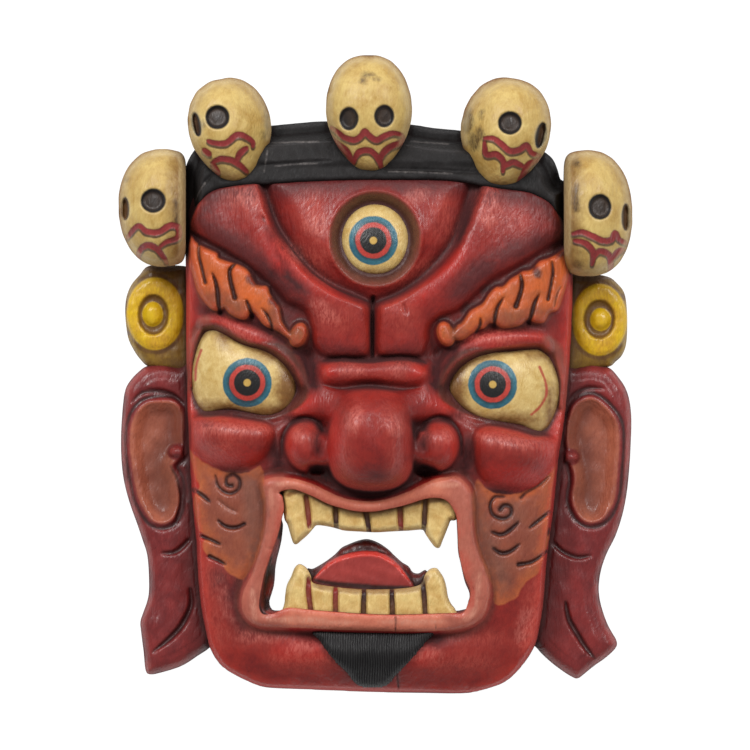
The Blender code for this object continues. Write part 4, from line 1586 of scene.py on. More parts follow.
@dataclass(frozen=True)
class Jaw:
    """The lips, the chin and the wide open mouth."""

    lip_lift: float = 5.0
    lip_rise: float = 2.6
    chin_cracks: tuple[Gouge, ...] = (
        Gouge(((12, -143.5), (12.5, -148), (12, -153.5)), 0.6, 1.6, ink=-0.1),
        Gouge(((13, -178), (13.5, -183), (14, -188)), 0.6, 1.8, (0.3, 1), -0.1),
        Gouge(((36, -149), (36.5, -153)), 0.5, 1, ink=-0.3),
        Gouge(((-65, -104), (-61, -104.3), (-58, -104)), 0.5, 1, ink=-0.4),
    )

    def carve(self, relief: Relief) -> np.ndarray:
        """Carves the lips and the chin.

        Args:
            relief: the face's relief.

        Returns:
            The distance inside the lips' painted area.
        """
        grid = relief.grid
        outer = grid.inside(LIP_OUTER)
        inner = grid.inside(LIP_INNER)
        lip = np.minimum(outer, -inner)
        chin = bell(grid.x + 2, 62) * (6 * bell(grid.y + 171, 13) - 3 * bell(grid.y + 156, 6))
        relief.height = relief.height + chin
        relief.height = relief.height - 2 * bell(np.minimum(outer, 0) + 1.5, 3) * (outer < 3)
        relief.pad(np.minimum(outer, -inner + 6), self.lip_lift, 3.5, self.lip_rise, fall=2, smooth=0.8)
        relief.height = relief.height - 1.5 * ease(inner, -2.5, 0)
        relief.cut(self.chin_cracks, soft=0.4)
        return lip


RED_TINTS = {  # ovals: middle, half sizes and turn to the left in degrees
    # painted shade on low parts and below raised forms
    "dusky": (
        (-80, 72, 34, 9, -38), (-58, 50, 18, 7, -45), (60, 58, 22, 8, 42), (90, 75, 24, 7, 20),
        (-82, -140, 6, 18, 20), (2, -60, 8, 4, 0), (-20, 12, 14, 4, 0), (18, 12, 12, 4, 0),
        (-58, -58, 5, 10, 10), (-43, 3, 6, 16, 24), (42, 2, 6, 16, -24), (-92, -122, 6, 8, 0),
        (54, -54, 4, 12, -8), (-80, 31, 24, 3, -20), (80, 27, 26, 3, 4), (-8, -73, 34, 4, 0),
        (-48, 40, 5, 12, -40), (-84, -61, 18, 4, -6), (82, -71, 18, 4, 0), (-104, -30, 6, 3, 0),
        (102, -36, 6, 3, 0),
    ),
    # brighter red, partly painted light on lit sides, crests and lids
    "glow": (
        (-25, -38, 6, 17, 0), (46, -42, 5, 9, 0), (-28, 0, 5, 5, 0), (26, -1, 6, 5, 0), (115, 40, 4, 46, 0),
        (-112, 20, 4, 50, 0), (110, -70, 4, 60, 4), (-108, -90, 4, 60, -3), (104, -52, 5, 10, 0),
        (-50, -42, 4, 9, 0), (40, -18, 9, 4, -30), (-42, -18, 10, 4, 30), (-86, -50, 20, 6, 0),
        (84, -62, 20, 7, -10), (-82, 25, 18, 5, -22), (76, 21, 24, 5, 0), (96, -150, 4, 16, -20),
        (-50, 66, 20, 3, -47), (-30, 51, 12, 2, -36), (40, 58, 22, 2.5, 47), (-60, 70, 3, 10, 25),
        (20, -168, 16, 6, 0), (-45, -165, 16, 7, 0),
    ),
    # painted shade in the creases, round the bridge roll and under the nose
    "valley": (
        (0, 7.2, 33, 2.6, 0), (-37, 0, 4.5, 12, 10), (38, 0, 6.5, 12, -20), (-34, -40, 3, 9, 0),
        (29, -38, 3, 8, 0), (-86, 33, 20, 2.6, -14), (-60, 23, 14, 3, -35), (58, 22, 16, 3, 25),
        (76, 26.5, 16, 2.4, 4), (-50, 57, 12, 4, -46), (-58, 76, 3.5, 12, 25), (54, 92, 3.5, 16, -20),
        (0, -72, 30, 3, 0), (-58, -52, 3.5, 12, 8), (54, -50, 3.5, 13, -8), (-78, -128, 5, 16, 12),
        (-84, -60, 18, 3, -6), (82, -70.5, 18, 3, 0), (-44, 8, 5, 12, 28), (43, 8, 5, 12, -28),
        (-39, -158, 7, 5, 0), (35, -158, 7, 5, 0), (-54, 66, 4, 12, -45), (-47, -28, 8, 2, -20),
        (45, -26, 8, 2, 20),
    ),
    # painted glints: small streaky highlights
    "sheen": (
        (-12, -28, 3.5, 8, -12), (12, -31, 5, 6, 20), (-46, -37, 3, 4, 0), (43, -37, 4, 3, 0),
        (-30, 37, 10, 4, -40), (-34, 88, 8, 7, -20), (-78, 103, 8, 4, -10), (-46, 70, 6, 3, -45),
        (68, 95, 5, 8, -30), (-82, -33, 20, 2.6, 0), (-80, 24.5, 9, 2, -24), (72, 20.5, 14, 2, 0),
        (76, -40, 16, 2.6, -10), (-89, -138, 2.4, 15, 14), (-70, -157, 12, 2.5, 0), (-46, -163, 9, 3.5, 0),
        (-14, 1.5, 7, 2.5, 0), (13, 2, 6, 2.5, 0), (24, 105, 9, 4, 20), (-52, -19, 9, 1.8, 30),
        (50, -18, 9, 1.8, -30), (90, -150, 5, 12, -14), (26, -167, 14, 2.5, 0),
    ),
    "brow_tip": (
        (-46, 22, 7, 8, 0), (-56, 32, 9, 7, -50), (-90, 42, 16, 6, -20), (48, 24, 8, 4, 20),
        (84, 33, 20, 6, 10)
    ),
    "dust": (
        (-70, -92, 7, 32, 6), (-80, -64, 10, 6, 0), (64, -98, 5, 32, 14), (72, -112, 6, 16, 20),
        (80, -84, 8, 8, 0)
    ),
    # painted highlights on the lips
    "lip_light": (
        (-46, -146.5, 18, 1.8, 0), (-22, -148, 12, 1.2, 0), (22, -147.5, 20, 1.6, 0), (56, -143, 5, 3, 40),
        (-52, -65.5, 7, 1.4, 0), (42, -66, 8, 1.6, 0), (-72, -138, 1.6, 10, 5), (61, -128, 1.4, 10, -8),
        (0, -79, 14, 1, 0), (-62, -75, 1.6, 6, 0),
    ),
    # painted highlights: pale pink streaky patches
    "rubbed": (
        (-76, 102, 14, 10, -20), (-48, 72, 9, 5, -50), (-36, 60, 12, 5, -42), (-24, 33, 12, 8, 0),
        (-38, 96, 9, 12, 0), (-34, 70, 10, 8, 0), (40, 92, 8, 14, 0), (68, 98, 8, 14, 0), (80, 90, 12, 6, 0),
        (16, 34, 9, 10, 0), (22, 60, 14, 5, 30), (-12, -26, 4, 8, -20), (8, -27, 6, 8, 0),
        (-17, -50, 3, 10, 0), (11, -48, 3, 12, 0), (-84, -34, 24, 7, 0), (-92, -44, 12, 6, 0),
        (84, -41, 22, 7, -8), (-42, -37, 5, 5, 0), (37, -39, 5, 5, 0), (-82, 25, 16, 3.5, -22),
        (76, 21, 22, 3, 0), (-12, 1, 8, 3.5, 0), (13, 1, 8, 3.5, 0), (-70, -157, 18, 5, 0),
        (62, -158, 16, 5, 0), (-98, -125, 5, 16, 10), (96, -135, 7, 16, -10), (-84, -116, 8, 5, 0),
        (-94, -150, 5, 14, 10), (90, -158, 8, 10, 0), (-40, -170, 24, 6, 0), (50, -172, 24, 6, 0),
        (-58, -24, 10, 3, 15), (60, -27, 10, 3, -15),
    ),
}


@dataclass
class CarvedFace:
    """The red face, one hollow piece of wood."""

    step: float = 0.8
    wall: float = 15.0  # width of the rim that the mask lies on
    shell: float = 18.0  # thickness of the wood behind the front
    rim_height: float = 29.0
    budget: int = 196_000

    def __post_init__(self) -> None:
        """Lays the grid over the face."""
        self.grid = Grid.round(FACE_OUTLINE, self.step)
        self.plan = self.grid.inside(FACE_OUTLINE)
        self.plan = self.plan - 1.4 * ease(self.grid.y, 74, 84) + 1.4 * ease(-self.grid.y, 150, 175)

    def _tints(self) -> dict[str, np.ndarray]:
        """Where the red takes painted shade, brighter red with painted light, painted highlights and glints,
        and its other tints.
        """
        areas = {}
        for title, ovals in RED_TINTS.items():
            areas[title] = self.grid.ovals(ovals)
        return areas

    def under(self) -> np.ndarray:
        """The hollow's ceiling, below 0 where the mask has no hollow."""
        inset = self.plan - self.wall
        ceiling = dome(inset, 60, 54, 4) - 4
        front = crowned_front(self.grid.x, self.grid.y)
        behind = np.minimum(spread(self.height, 8 / self.grid.step) - self.shell, front - self.shell)
        return soft_min(ceiling, behind, 4) + 0.7 * wobble(self.grid.x * 0.6, self.grid.y, 9, 5)

    def carve(self, jaw: Jaw) -> Carving:
        """Carves the face.

        Args:
            jaw: the mouth's sizes.

        Returns:
            The face's carving.
        """
        relief = Relief(self.grid)
        relief.roughen(0.35, 16, 1)
        ring = Forehead().carve(relief)
        sockets = [socket.carve(relief) for socket in (LEFT_SOCKET, RIGHT_SOCKET)]
        brows = [brow.carve(relief) for brow in (LEFT_BROW, RIGHT_BROW)]
        flames = [cheek.carve(relief) for cheek in (LEFT_CHEEK, RIGHT_CHEEK)]
        Nose().carve(relief)
        lip = jaw.carve(relief)
        relief.settle(0.6)
        relief.roughen(0.08, 6, 2)
        band = self.grid.inside(HairBand.outline)
        relief.height = relief.height - 9 * ease(band, 0, 2)
        side = self.rim_height + dome(self.plan, 4, 14) + 8 * np.clip(self.plan - 1.5, 0, None)
        chin = 16 + dome(self.plan, 5, 34) + 8 * np.clip(self.plan - 5, 0, None)
        rim = chin + (side - chin) * ease(self.grid.y, -172, -135)
        relief.height = soft_min(relief.height, rim, 2.5)
        self.height = relief.height
        block = Block(self.grid, -3 * self.grid.step, 116)
        block.keep_between(relief.height, np.maximum(self.under(), 0))
        block.remove(np.broadcast_to(-self.plan, block.wood.shape))
        throat, lips = self.grid.inside(THROAT), self.grid.inside(LIP_INNER)
        opening = ease(block.z, 52, 68)
        block.remove(throat * (1 - opening) + lips * opening)
        tints = self._tints()
        # Painted shade below the hair band and along the frown groove, and brighter red with painted light
        # along the face's lower sides.
        near_band = band + 8
        near_groove = self.grid.stroke(Forehead.frown_groove, 3.0, reach=40)
        low_side = np.where(self.grid.y < 70, 4.0 - self.plan, -REACH)
        tints["glow"] = np.maximum(tints["glow"], low_side)
        tints["dusky"] = np.maximum.reduce([tints["dusky"], near_band, near_groove])
        areas = tints | {
            "ink": relief.ink,
            "brow_shade": relief.brow_shade,
            "lip_side": np.minimum(lip, np.abs(self.grid.x + 6) - 50) + 2,
            "lid": self.grid.strokes(LEFT_SOCKET.outer_rims + RIGHT_SOCKET.outer_rims, 4.5, (0.7, 0.7)),
            "socket": np.maximum(*sockets),
            "ring": ring,
            "lip": lip,
            "brow": np.maximum(*brows),
            "brow_tip": np.minimum(tints["brow_tip"], np.maximum(*brows)),
            "cheek_paint": np.maximum(*flames),
            "dust": np.minimum(tints["dust"], np.maximum(*flames)),
            "mouth": lips,
        }
        return Carving("carved_face", block, self.budget, areas, 20)


# What stands round the face


@dataclass(frozen=True)
class HairBand:
    """The black hair that frames the forehead, in three flat strips."""

    outline: Points = (
        (-113.5, 72), (-114.8, 95), (-114.8, 112), (-113.8, 121), (-110.3, 130), (-103, 138.3), (-90, 144.3),
        (-75, 147.3), (-61, 148.3), (-45, 149.8), (-30, 150.8), (0, 150.3), (22, 148.8), (35, 146.8),
        (51, 145.3), (70, 143.3), (88, 139.3), (100, 133.3), (106.3, 128.3), (109.3, 121.3), (111.3, 115.5),
        (117.5, 114), (118.4, 100), (118.2, 76), (115, 82), (110, 92), (104, 101), (95, 106), (88, 108),
        (70, 110), (55, 113.5), (35, 115), (10, 115), (-10, 115), (-40, 114), (-66, 112.5), (-88, 110.5),
        (-97, 108), (-103, 103), (-107, 96), (-110, 88), (-112, 80),
    )
    steps: tuple[Points, ...] = (
        ((-68, 139), (-45, 139.5), (-28, 140)),
        ((-68, 124), (-45, 125.5), (-26, 126.5)),
        ((18, 140), (38, 138), (58, 137)),
        ((6, 121.5), (30, 121), (62, 119.5)),
        ((-96, 119), (-104, 111), (-109, 101), (-112.5, 88)),
    )
    # pale lines, mostly painted glints along the steps' edges
    scratches_and_painted_glints: tuple[Points, ...] = (
        ((-62, 137.3), (-45, 137.8), (-33, 138)),
        ((-60, 123.2), (-46, 124.6), (-34, 125)),
        ((21, 138.4), (34, 137.4), (44, 137)),
        ((8, 120), (24, 119.6), (46, 118.8)),
        ((-101, 113.5), (-106, 106), (-109.5, 96)),
        ((-66, 119.5), (-64, 133)),
    )

    def carve(self, face: CarvedFace) -> Carving:
        """Carves the band over the face's top.

        Args:
            face: the face that it lies on.

        Returns:
            The band's carving.
        """
        grid = Grid.round(self.outline, 0.8)
        relief = Relief(grid)
        inside = grid.inside(self.outline)
        outer = grid.inside(FACE_OUTLINE) + 1.0
        across = ease(grid.y, 122, 127) * 2 - ease(grid.y, 138, 140) * 4
        relief.height = relief.base + 7 + dome(np.minimum(inside, 20), 3, 3) + across
        relief.cut([Gouge(line, 0.8, 1.2, (0.3, 0.3)) for line in self.steps])
        relief.settle(0.5)
        relief.roughen(0.35, 9, 11)
        rim = 30 + dome(outer, 7, 12, 4) + 3 * np.clip(outer - 7, 0, None)
        height = soft_min(relief.height, rim, 2.5)
        hollow = face.grid.sample(face.under(), grid.x, grid.y) + 2.5
        block = Block(grid, -3 * grid.step, 82)
        block.keep_between(height, np.maximum(hollow, 1.5))
        block.remove(np.broadcast_to(-inside, block.wood.shape))
        # pale lines: painted glints along the steps' edges and a few scratched marks
        scratch = grid.strokes(self.scratches_and_painted_glints, 0.35)
        return Carving("hair_band", block, 60_000, {"scratch": scratch}, 30)


@dataclass(frozen=True)
class Skull:
    """One small skull of the crown, an egg with painted eyes, nose and grin."""

    name: str
    centre: tuple[float, float, float]
    turn: float  # turn to the side, in degrees
    lean: float  # lean to the left in the plane of the face, in degrees
    eyes: tuple[tuple[float, float, float, float, float], ...]  # middle, half sizes and turn of each
    lines: tuple[Points, ...]
    # dark patches: scuffed paint, and painted shade on the side towards the band
    patches: tuple[tuple[float, float, float, float], ...] = ()
    half_height: float = 35.0
    half_width: float = 25.6
    half_depth: float = 27.0
    chin: float = 0.3  # how much narrower the jaw is
    hidden_from: float = 0.0  # where the band starts to hide it, on its side of the middle
    eye_depth: float = 3.2
    line_width: float = 1.8

    def carve(self) -> Carving:
        """Carves the skull.

        Returns:
            The skull's carving, with its painted eyes, its lines with a painted shadow, its dark patches, and
            brown glaze with painted shade towards its sides.
        """
        x, y, z = self.centre
        reach = 44.0
        step = 0.65 * COARSE
        grid = Grid((x - reach, y - reach), (x + reach, y + reach), step)
        block = Block(grid, max(z - 38, 1.2), z + 36)
        lean = Matrix.Rotation(math.radians(self.lean), 3, "Z")
        place = lean @ Matrix.Rotation(math.radians(self.turn), 3, "Y")
        turned = np.array(place)
        across, along, up = grid.x - x, grid.y - y, block.z - z
        u, v, w = (turned[0, k] * across + turned[1, k] * along + turned[2, k] * up for k in range(3))
        v = v / self.half_height
        jaw = 1 - self.chin * ease(-v, -0.1, 1.15) - 0.04 * ease(v, 0.2, 1)
        u, w = u / (self.half_width * jaw), w / (self.half_depth * jaw)
        power = 2.4
        level = (np.abs(u) ** power + np.abs(v) ** power + np.abs(w) ** power) ** (1 / power)
        wood = (level - 1) * self.half_width
        front = ease(block.z, z - 4, z + 4)
        lines = grid.strokes(self.lines, self.line_width, (0.6, 0.6))
        # painted shadow: a copy of the lines moved 1.3 mm down
        shadow = np.roll(lines, -round(1.3 / step), axis=0)
        eyes = grid.ovals(self.eyes)
        dips = self.eye_depth * ease(eyes, -0.8, 3.0) + 0.6 * ease(lines, -0.8, 0.8)
        dips = dips * ease(-wood.min(axis=0), 0.5, 5)
        wood = wood + front * dips + 0.12 * wobble(grid.x, grid.y, 9, 21)
        if self.hidden_from:
            wood = soft_max(wood, np.broadcast_to(self.hidden_from - np.abs(grid.x), wood.shape), 4)
        block.remove(wood)
        block.remove(np.broadcast_to(1.5 - block.z + 0 * grid.x, block.wood.shape))
        # brown glaze and painted shade where the wood grows thin towards the skull's sides
        inner = -wood.min(axis=0)  # how deep the wood is over each place
        edge = 1.5 - inner
        # painted shade where the hair band hides the skull
        if self.hidden_from:
            edge = np.maximum(edge, self.hidden_from + 9 - np.abs(grid.x))
        dark = np.maximum(shadow, lines - 0.3)
        areas = {"line_red": lines, "line_dark": dark, "eye": eyes, "silhouette": edge}
        # dark patches of scuffed paint and of painted shade
        if self.patches:
            areas["worn_patch"] = grid.ovals(self.patches) - 0.5
        else:
            areas["worn_patch"] = np.full(grid.x.shape, -REACH)
        return Carving(self.name, block, 40_000, areas, z - 2)


SKULLS = (
    Skull(
        "skull_far_left",
        (-126.4, 98.8, 46),
        -42,
        0,
        ((-131.8, 102.6, 7.6, 7.3, 0), (-148.8, 98, 2.8, 7, 0)),
        (
            (
                (-147.4, 81), (-141, 87.8), (-135.7, 84.5), (-128.5, 84), (-122.2, 87.8), (-117, 87),
                (-117, 81), (-124, 78.2), (-127.6, 75.5),
            ),
            ((-141, 67.4), (-140.2, 72.8), (-135.7, 76.4), (-130.3, 74.6), (-125.8, 69.2), (-124, 66)),
        ),
        ((-149, 116, 1.6, 2), (-120, 80, 3, 1.5), (-118, 96, 2, 8)),
        35.0,
        24.2,
        26.2,
        chin=0.1,
        hidden_from=112.8,
    ),
    Skull(
        "skull_left",
        (-86, 144.8, 55),
        -44,
        12,
        ((-93.5, 152, 7.3, 7.3, 0), (-106.2, 148, 3, 7.5, 12)),
        (
            ((-99, 138), (-94, 136.5), (-88, 137), (-83, 141), (-79, 141.5), (-73, 138), (-72.5, 135)),
            ((-76, 134), (-80, 131), (-82, 126.5)),
            ((-96, 126), (-91, 127.5), (-85, 126.5), (-80, 123.5), (-76, 120)),
            ((-102, 133), (-98, 130)),
            ((-97, 125), (-93, 119)),
        ),
        ((-101.5, 148, 1.5, 3), (-64, 154, 1.6, 12), (-66, 142, 1.2, 3)),
        31.2,
        21.0,
        25.6,
    ),
    Skull(
        "skull_middle",
        (-3.5, 154.5, 60),
        -3,
        2,
        ((-15.5, 151, 5.8, 7, 0), (5.5, 152.5, 6, 6.8, 0)),
        (
            (
                (-26, 146), (-23, 144), (-18, 140), (-12, 138.5), (-8, 141), (-6, 143.5), (-3, 140.5),
                (1, 138.5), (6, 141), (11, 142.5), (16, 141.5),
            ),
            ((17, 140), (15, 137), (9, 134.5), (5, 131), (3, 127), (4, 122)),
            ((-26, 141), (-24, 138), (-19, 134), (-15.5, 130), (-14.5, 125), (-16, 121)),
            ((-13, 125), (-10, 131), (-4, 132.5), (0, 130), (2, 126)),
        ),
        ((-4, 177, 4.5, 1.6), (-7, 173.5, 2.5, 2), (1, 174.5, 3, 1.2), (-20, 183, 2, 1.5)),
    ),
    Skull(
        "skull_right",
        (77.3, 143.2, 55),
        35,
        -11,
        ((80, 148.5, 7.2, 7, 0), (98.5, 141.5, 3.5, 8, -12)),
        (
            ((65, 139.5), (70, 139.5), (75, 136), (80, 132), (86, 133), (90, 135.5), (93, 131), (98, 129.5)),
            ((65, 137), (66, 130), (72, 130), (76, 126), (76, 120)),
            ((77, 123), (82, 125.5), (88, 123)),
            ((97, 127), (91, 124), (88, 118), (85, 113)),
        ),
        ((55, 150, 4, 8), (62, 142, 3, 5), (63, 154, 1.6, 3), (59, 138, 4, 6), (74, 112, 4, 2)),
        33.0,
        24.4,
    ),
    Skull(
        "skull_far_right",
        (126.6, 95.6, 46),
        42,
        2,
        ((133.6, 99, 7, 7.7, 0), (149.4, 93, 2.9, 8.2, 0)),
        (
            (
                (117.5, 83), (123.4, 84), (129.7, 81.3), (135, 79), (140.5, 79.5), (142.7, 83.6), (145, 80),
                (149.5, 77.7)
            ),
            ((118.5, 79), (125.2, 77.3), (129.7, 72), (129, 65)),
            ((130, 69), (133.3, 72.8), (138.7, 71), (140.3, 66.5), (140, 60.5)),
            ((141, 68), (144.1, 72), (148, 74)),
        ),
        ((120, 125, 2, 3), (119, 104, 2.5, 9), (121, 64, 3, 3)),
        37.6,
        24.4,
        26.4,
        chin=0.04,
        hidden_from=112.6,
    ),
)


@dataclass(frozen=True)
class Ear:
    """A long ear with its hollow, its folds and its heavy lobe."""

    name: str
    outline: Points
    hollow: Points
    knob: tuple[float, float]
    folds: tuple[Gouge, ...]
    knob_size: tuple[float, float] = (6.5, 5)
    floor: float = 5.0
    level: float = 22.0

    def carve(self) -> Carving:
        """Carves the ear.

        Returns:
            The ear's carving, with its hollow's painted area.
        """
        grid = Grid.round(self.outline, 0.8)
        relief = Relief(grid)
        relief.base = np.full(grid.x.shape, self.level)
        relief.height = self.level + 0.5 * wobble(grid.x, grid.y, 12, 31)
        outline = grid.inside(self.outline) + 1.1
        hollow = grid.inside(self.hollow)
        relief.height = relief.height + 8 - 5.5 * ease(hollow, 0, 9) + 1.2 * bell(hollow - 0.3, 1.1)
        relief.height = relief.height - 1.8 * bell(hollow + 3, 1.4)
        relief.cut(self.folds, soft=1.4)
        relief.ball(self.knob, self.knob_size, self.level + 2, 9.5)
        relief.settle(0.6)
        rim = self.level - 3 + dome(outline, 9, 11, 4) + 2.5 * np.clip(outline - 9, 0, None)
        height = soft_min(relief.height, rim, 2)
        block = Block(grid, self.floor - 3 * grid.step, 40)
        block.keep_between(height, np.full(grid.x.shape, self.floor))
        block.remove(np.broadcast_to(-outline, block.wood.shape))
        shade = grid.oval((self.knob[0] * 1.1, -60), (6, 22))
        floor = np.minimum(hollow, -grid.oval(self.knob, self.knob_size) - 0.5)
        areas = {
            "ink": np.maximum(relief.ink, 0.9 - np.abs(hollow + 3)),
            "inner_ear": floor,
            # pink paint round the hollow, partly a painted highlight on its rim
            "ear_rim": 0.8 - np.abs(floor),
            "inner_shade": np.minimum(shade, floor),
        }
        return Carving(self.name, block, 46_000, areas, self.floor + 6)


EARS = (
    Ear(
        "ear_left",
        (
            (-110, 2), (-118, 3.5), (-128, 5), (-136, 3.5), (-140, 1), (-145, -4), (-148.5, -10), (-150, -20),
            (-151, -35), (-151, -48), (-150, -60), (-148, -70), (-145, -80), (-141, -91), (-138, -100),
            (-135.5, -108), (-134.5, -118), (-134.3, -130), (-135.5, -137), (-138, -144), (-139.5, -149),
            (-139, -155), (-137.5, -167), (-136.5, -177), (-134.5, -179.2), (-128, -178), (-117, -174.5),
            (-108, -169), (-97, -160), (-98, -145), (-102, -100), (-106, -50),
        ),
        (
            (-126, -16.5), (-137, -18), (-144, -26), (-146.5, -38), (-145.5, -53), (-141.5, -74), (-134, -87),
            (-126, -89.5), (-119.5, -85), (-117, -75), (-118, -63), (-121.5, -55), (-115, -48), (-114.5, -38),
            (-115, -24), (-119, -18),
        ),
        (-117.5, -47),
        (
            Gouge(
                ((-145.5, -17), (-139, -11.5), (-130, -10.5), (-121, -12.5), (-115.5, -18)), 1.5, 2.2,
                ink=-0.5
            ),
            Gouge(((-127.5, -107.5), (-119, -106.5), (-111, -99.5)), 1.2, 2.2, (0.3, 0.8), -0.3),
            Gouge(
                ((-110.5, -129), (-110, -139), (-116, -151), (-124, -159.5), (-133, -166.5)), 1.6, 3,
                (0.4, 0.3), -0.2
            ),
            Gouge(((-122, -56), (-118, -64), (-116, -76), (-119, -88)), 1.3, 2, ink=-0.4),
        ),
    ),
    Ear(
        "ear_right",
        (
            (110, 2), (120, 3.5), (130, 5), (136, 3.5), (140.5, 2), (145, -3), (149, -9), (151.5, -17),
            (152.5, -28), (152, -45), (151, -60), (149.5, -73), (147, -85), (143, -97), (138, -107),
            (134.5, -117), (133, -127), (133.5, -135), (135.5, -143), (138.5, -151), (141.5, -156.5),
            (143.5, -160), (143.5, -163.5), (138, -169), (131, -174), (126, -178), (121.5, -181.5),
            (119, -181), (114, -178), (106, -172), (98, -164), (94, -155), (98, -110), (105, -50),
        ),
        (
            (131, -15), (139, -21), (145, -30), (146, -42), (145, -57), (143, -75), (137, -86), (129, -89),
            (122, -85), (118, -75), (119.5, -62), (116, -48), (114.5, -35), (118, -22), (124, -16),
        ),
        (116, -50),
        (
            Gouge(((112, -28), (117, -15), (126, -9), (136, -9)), 1.5, 2.2, (0.4, 0.3), -0.5),
            Gouge(((107, -102), (113, -107), (121, -110), (129, -109)), 1.2, 2.2, (0.8, 0.3), -0.3),
            Gouge(
                ((114, -137), (116, -147), (121, -156), (126, -164), (132, -171)), 1.6, 3, (0.4, 0.3), -0.2
            ),
        ),
    ),
)


@dataclass(frozen=True)
class EarStud:
    """A golden stud over the ear, turned with a ring and a boss."""

    name: str
    outline: Points
    ring: tuple[float, float, float, float]
    groove: tuple[float, float, float, float]
    boss: tuple[float, float, float, float]
    level: float = 20.0

    def carve(self) -> Carving:
        """Carves the stud.

        Returns:
            The stud's carving, with its dark grooves and its bright boss.
        """
        grid = Grid.round(self.outline, 0.65)
        relief = Relief(grid)
        outline = grid.inside(self.outline)
        ring, groove, boss = (grid.oval(part[:2], part[2:]) for part in (self.ring, self.groove, self.boss))
        relief.base = np.full(grid.x.shape, self.level)
        relief.height = self.level + dome(outline, 10, 7, 3)
        relief.pad(ring, 4.5, 5, 4.5, fall=2)
        relief.height = relief.height - 3.2 * ease(groove, -0.5, 1.8)
        relief.pad(boss, 3.5, 5, 5.5, fall=2)
        relief.settle(0.6)
        relief.roughen(0.25, 5, 41)
        block = Block(grid, 5 - 3 * grid.step, 40)
        block.keep_between(relief.height, np.full(grid.x.shape, 5.0))
        block.remove(np.broadcast_to(-outline, block.wood.shape))
        areas = {"stud_ring": ring, "stud_groove": np.maximum(groove, 0.9 - np.abs(ring + 0.5)), "boss": boss}
        return Carving(self.name, block, 16_000, areas, 10)


EAR_STUDS = (
    EarStud(
        "ear_stud_left",
        (
            (-135.5, 64.5), (-141, 59), (-146, 53), (-149, 45), (-149.5, 35), (-148, 22), (-145, 15),
            (-141, 9), (-135.5, 4), (-124, 1), (-110, 2), (-108, 30), (-108, 60), (-122, 65),
        ),
        (-131.6, 35.8, 17.8, 22.4),
        (-132.6, 35.2, 9.4, 12.2),
        (-133, 35.5, 6.3, 7.5),
    ),
    EarStud(
        "ear_stud_right",
        (
            (139.5, 58), (145, 54), (149, 49), (150.5, 42), (151, 30), (150.5, 18), (148, 11), (144, 7),
            (140, 4), (126, 1), (110, 2), (110, 58), (126, 60),
        ),
        (134.3, 32.2, 17.2, 22.2),
        (134.2, 32.5, 9.4, 11.8),
        (135.1, 32.3, 6.3, 6.9),
    ),
)


# Eyes, teeth, tongue and beard


@dataclass(frozen=True)
class Eyeball:
    """A bulging painted eye, set in its socket."""

    name: str
    outline: Points
    gaze: tuple[float, float]
    arc: Points
    inwards: float = 1.0  # which way the nose lies
    lift: float = -6.0
    rise: float = 11.0
    depth: float = 14.0
    edge: float = 1.8  # how far the dark glaze reaches in from the edge
    spread: float = 1.8  # how far the eye reaches past its socket's outline
    stains: tuple[tuple[float, float, float, float, float], ...] = ((0, 58, 14, 3, 0),)

    def carve(self) -> Carving:
        """Carves the eye.

        Returns:
            The eye's carving, with the distance from its pupil and the shaded rim.
        """
        grid = Grid.round(self.outline, 0.6)
        relief = Relief(grid)
        inside = grid.inside(self.outline) + self.spread
        height = relief.base + self.lift + self.rise * inflate(inside, grid.step) + np.minimum(inside, 0)
        block = Block(grid, 20, 84)
        block.keep_between(height, relief.base + self.lift - self.depth)
        block.remove(np.broadcast_to(-inside, block.wood.shape))
        areas = {
            "gaze_x": grid.x - self.gaze[0],
            "gaze_y": grid.y - self.gaze[1],
            "rim": self.edge - inside + 3.5 * ease(self.inwards * (grid.x - self.gaze[0]), 8, 22),
            "arc": grid.stroke(self.arc, 0.75),
            "stain": grid.ovals(self.stains),
        }
        return Carving(self.name, block, 30_000, areas)


def round_outline(centre: tuple[float, float], size: tuple[float, float], count: int = 20) -> Points:
    """Points round an ellipse."""
    turns = (math.tau * k / count for k in range(count))
    return tuple((centre[0] + size[0] * math.cos(a), centre[1] + size[1] * math.sin(a)) for a in turns)


EYEBALLS = (
    Eyeball(
        "eyeball_left",
        LEFT_SOCKET.eye,
        (-76, -5.5),
        ((-107, -4), (-106.5, 5), (-103.5, 14)),
        stains=(
            (-53, -6, 6, 13, -10), (-66, 13, 10, 4, -25), (-96, -20, 14, 2, 5), (-62, -22, 10, 3, 0),
            (-90, 22, 4, 6, 0)
        ),
    ),
    Eyeball(
        "eyeball_right",
        RIGHT_SOCKET.eye,
        (70, -6.5),
        ((98, 4), (101.5, -5), (102, -13), (98, -20), (93, -24.5)),
        -1,
        stains=(
            (50, -8, 5, 9, 0), (60, 8, 12, 3, 15), (104, -20, 3, 12, 0), (84, -27, 14, 2.5, 0),
            (98, 11, 8, 2, 0)
        ),
        spread=2.8,
    ),
    Eyeball(
        "third_eye",
        round_outline((0, 80), (20.5, 21.5)),
        (-1, 79),
        ((0, 70), (0, 71)),
        0,
        lift=-3.5,
        rise=10,
        depth=10,
        edge=0.8,
        spread=0.8,
    ),
)


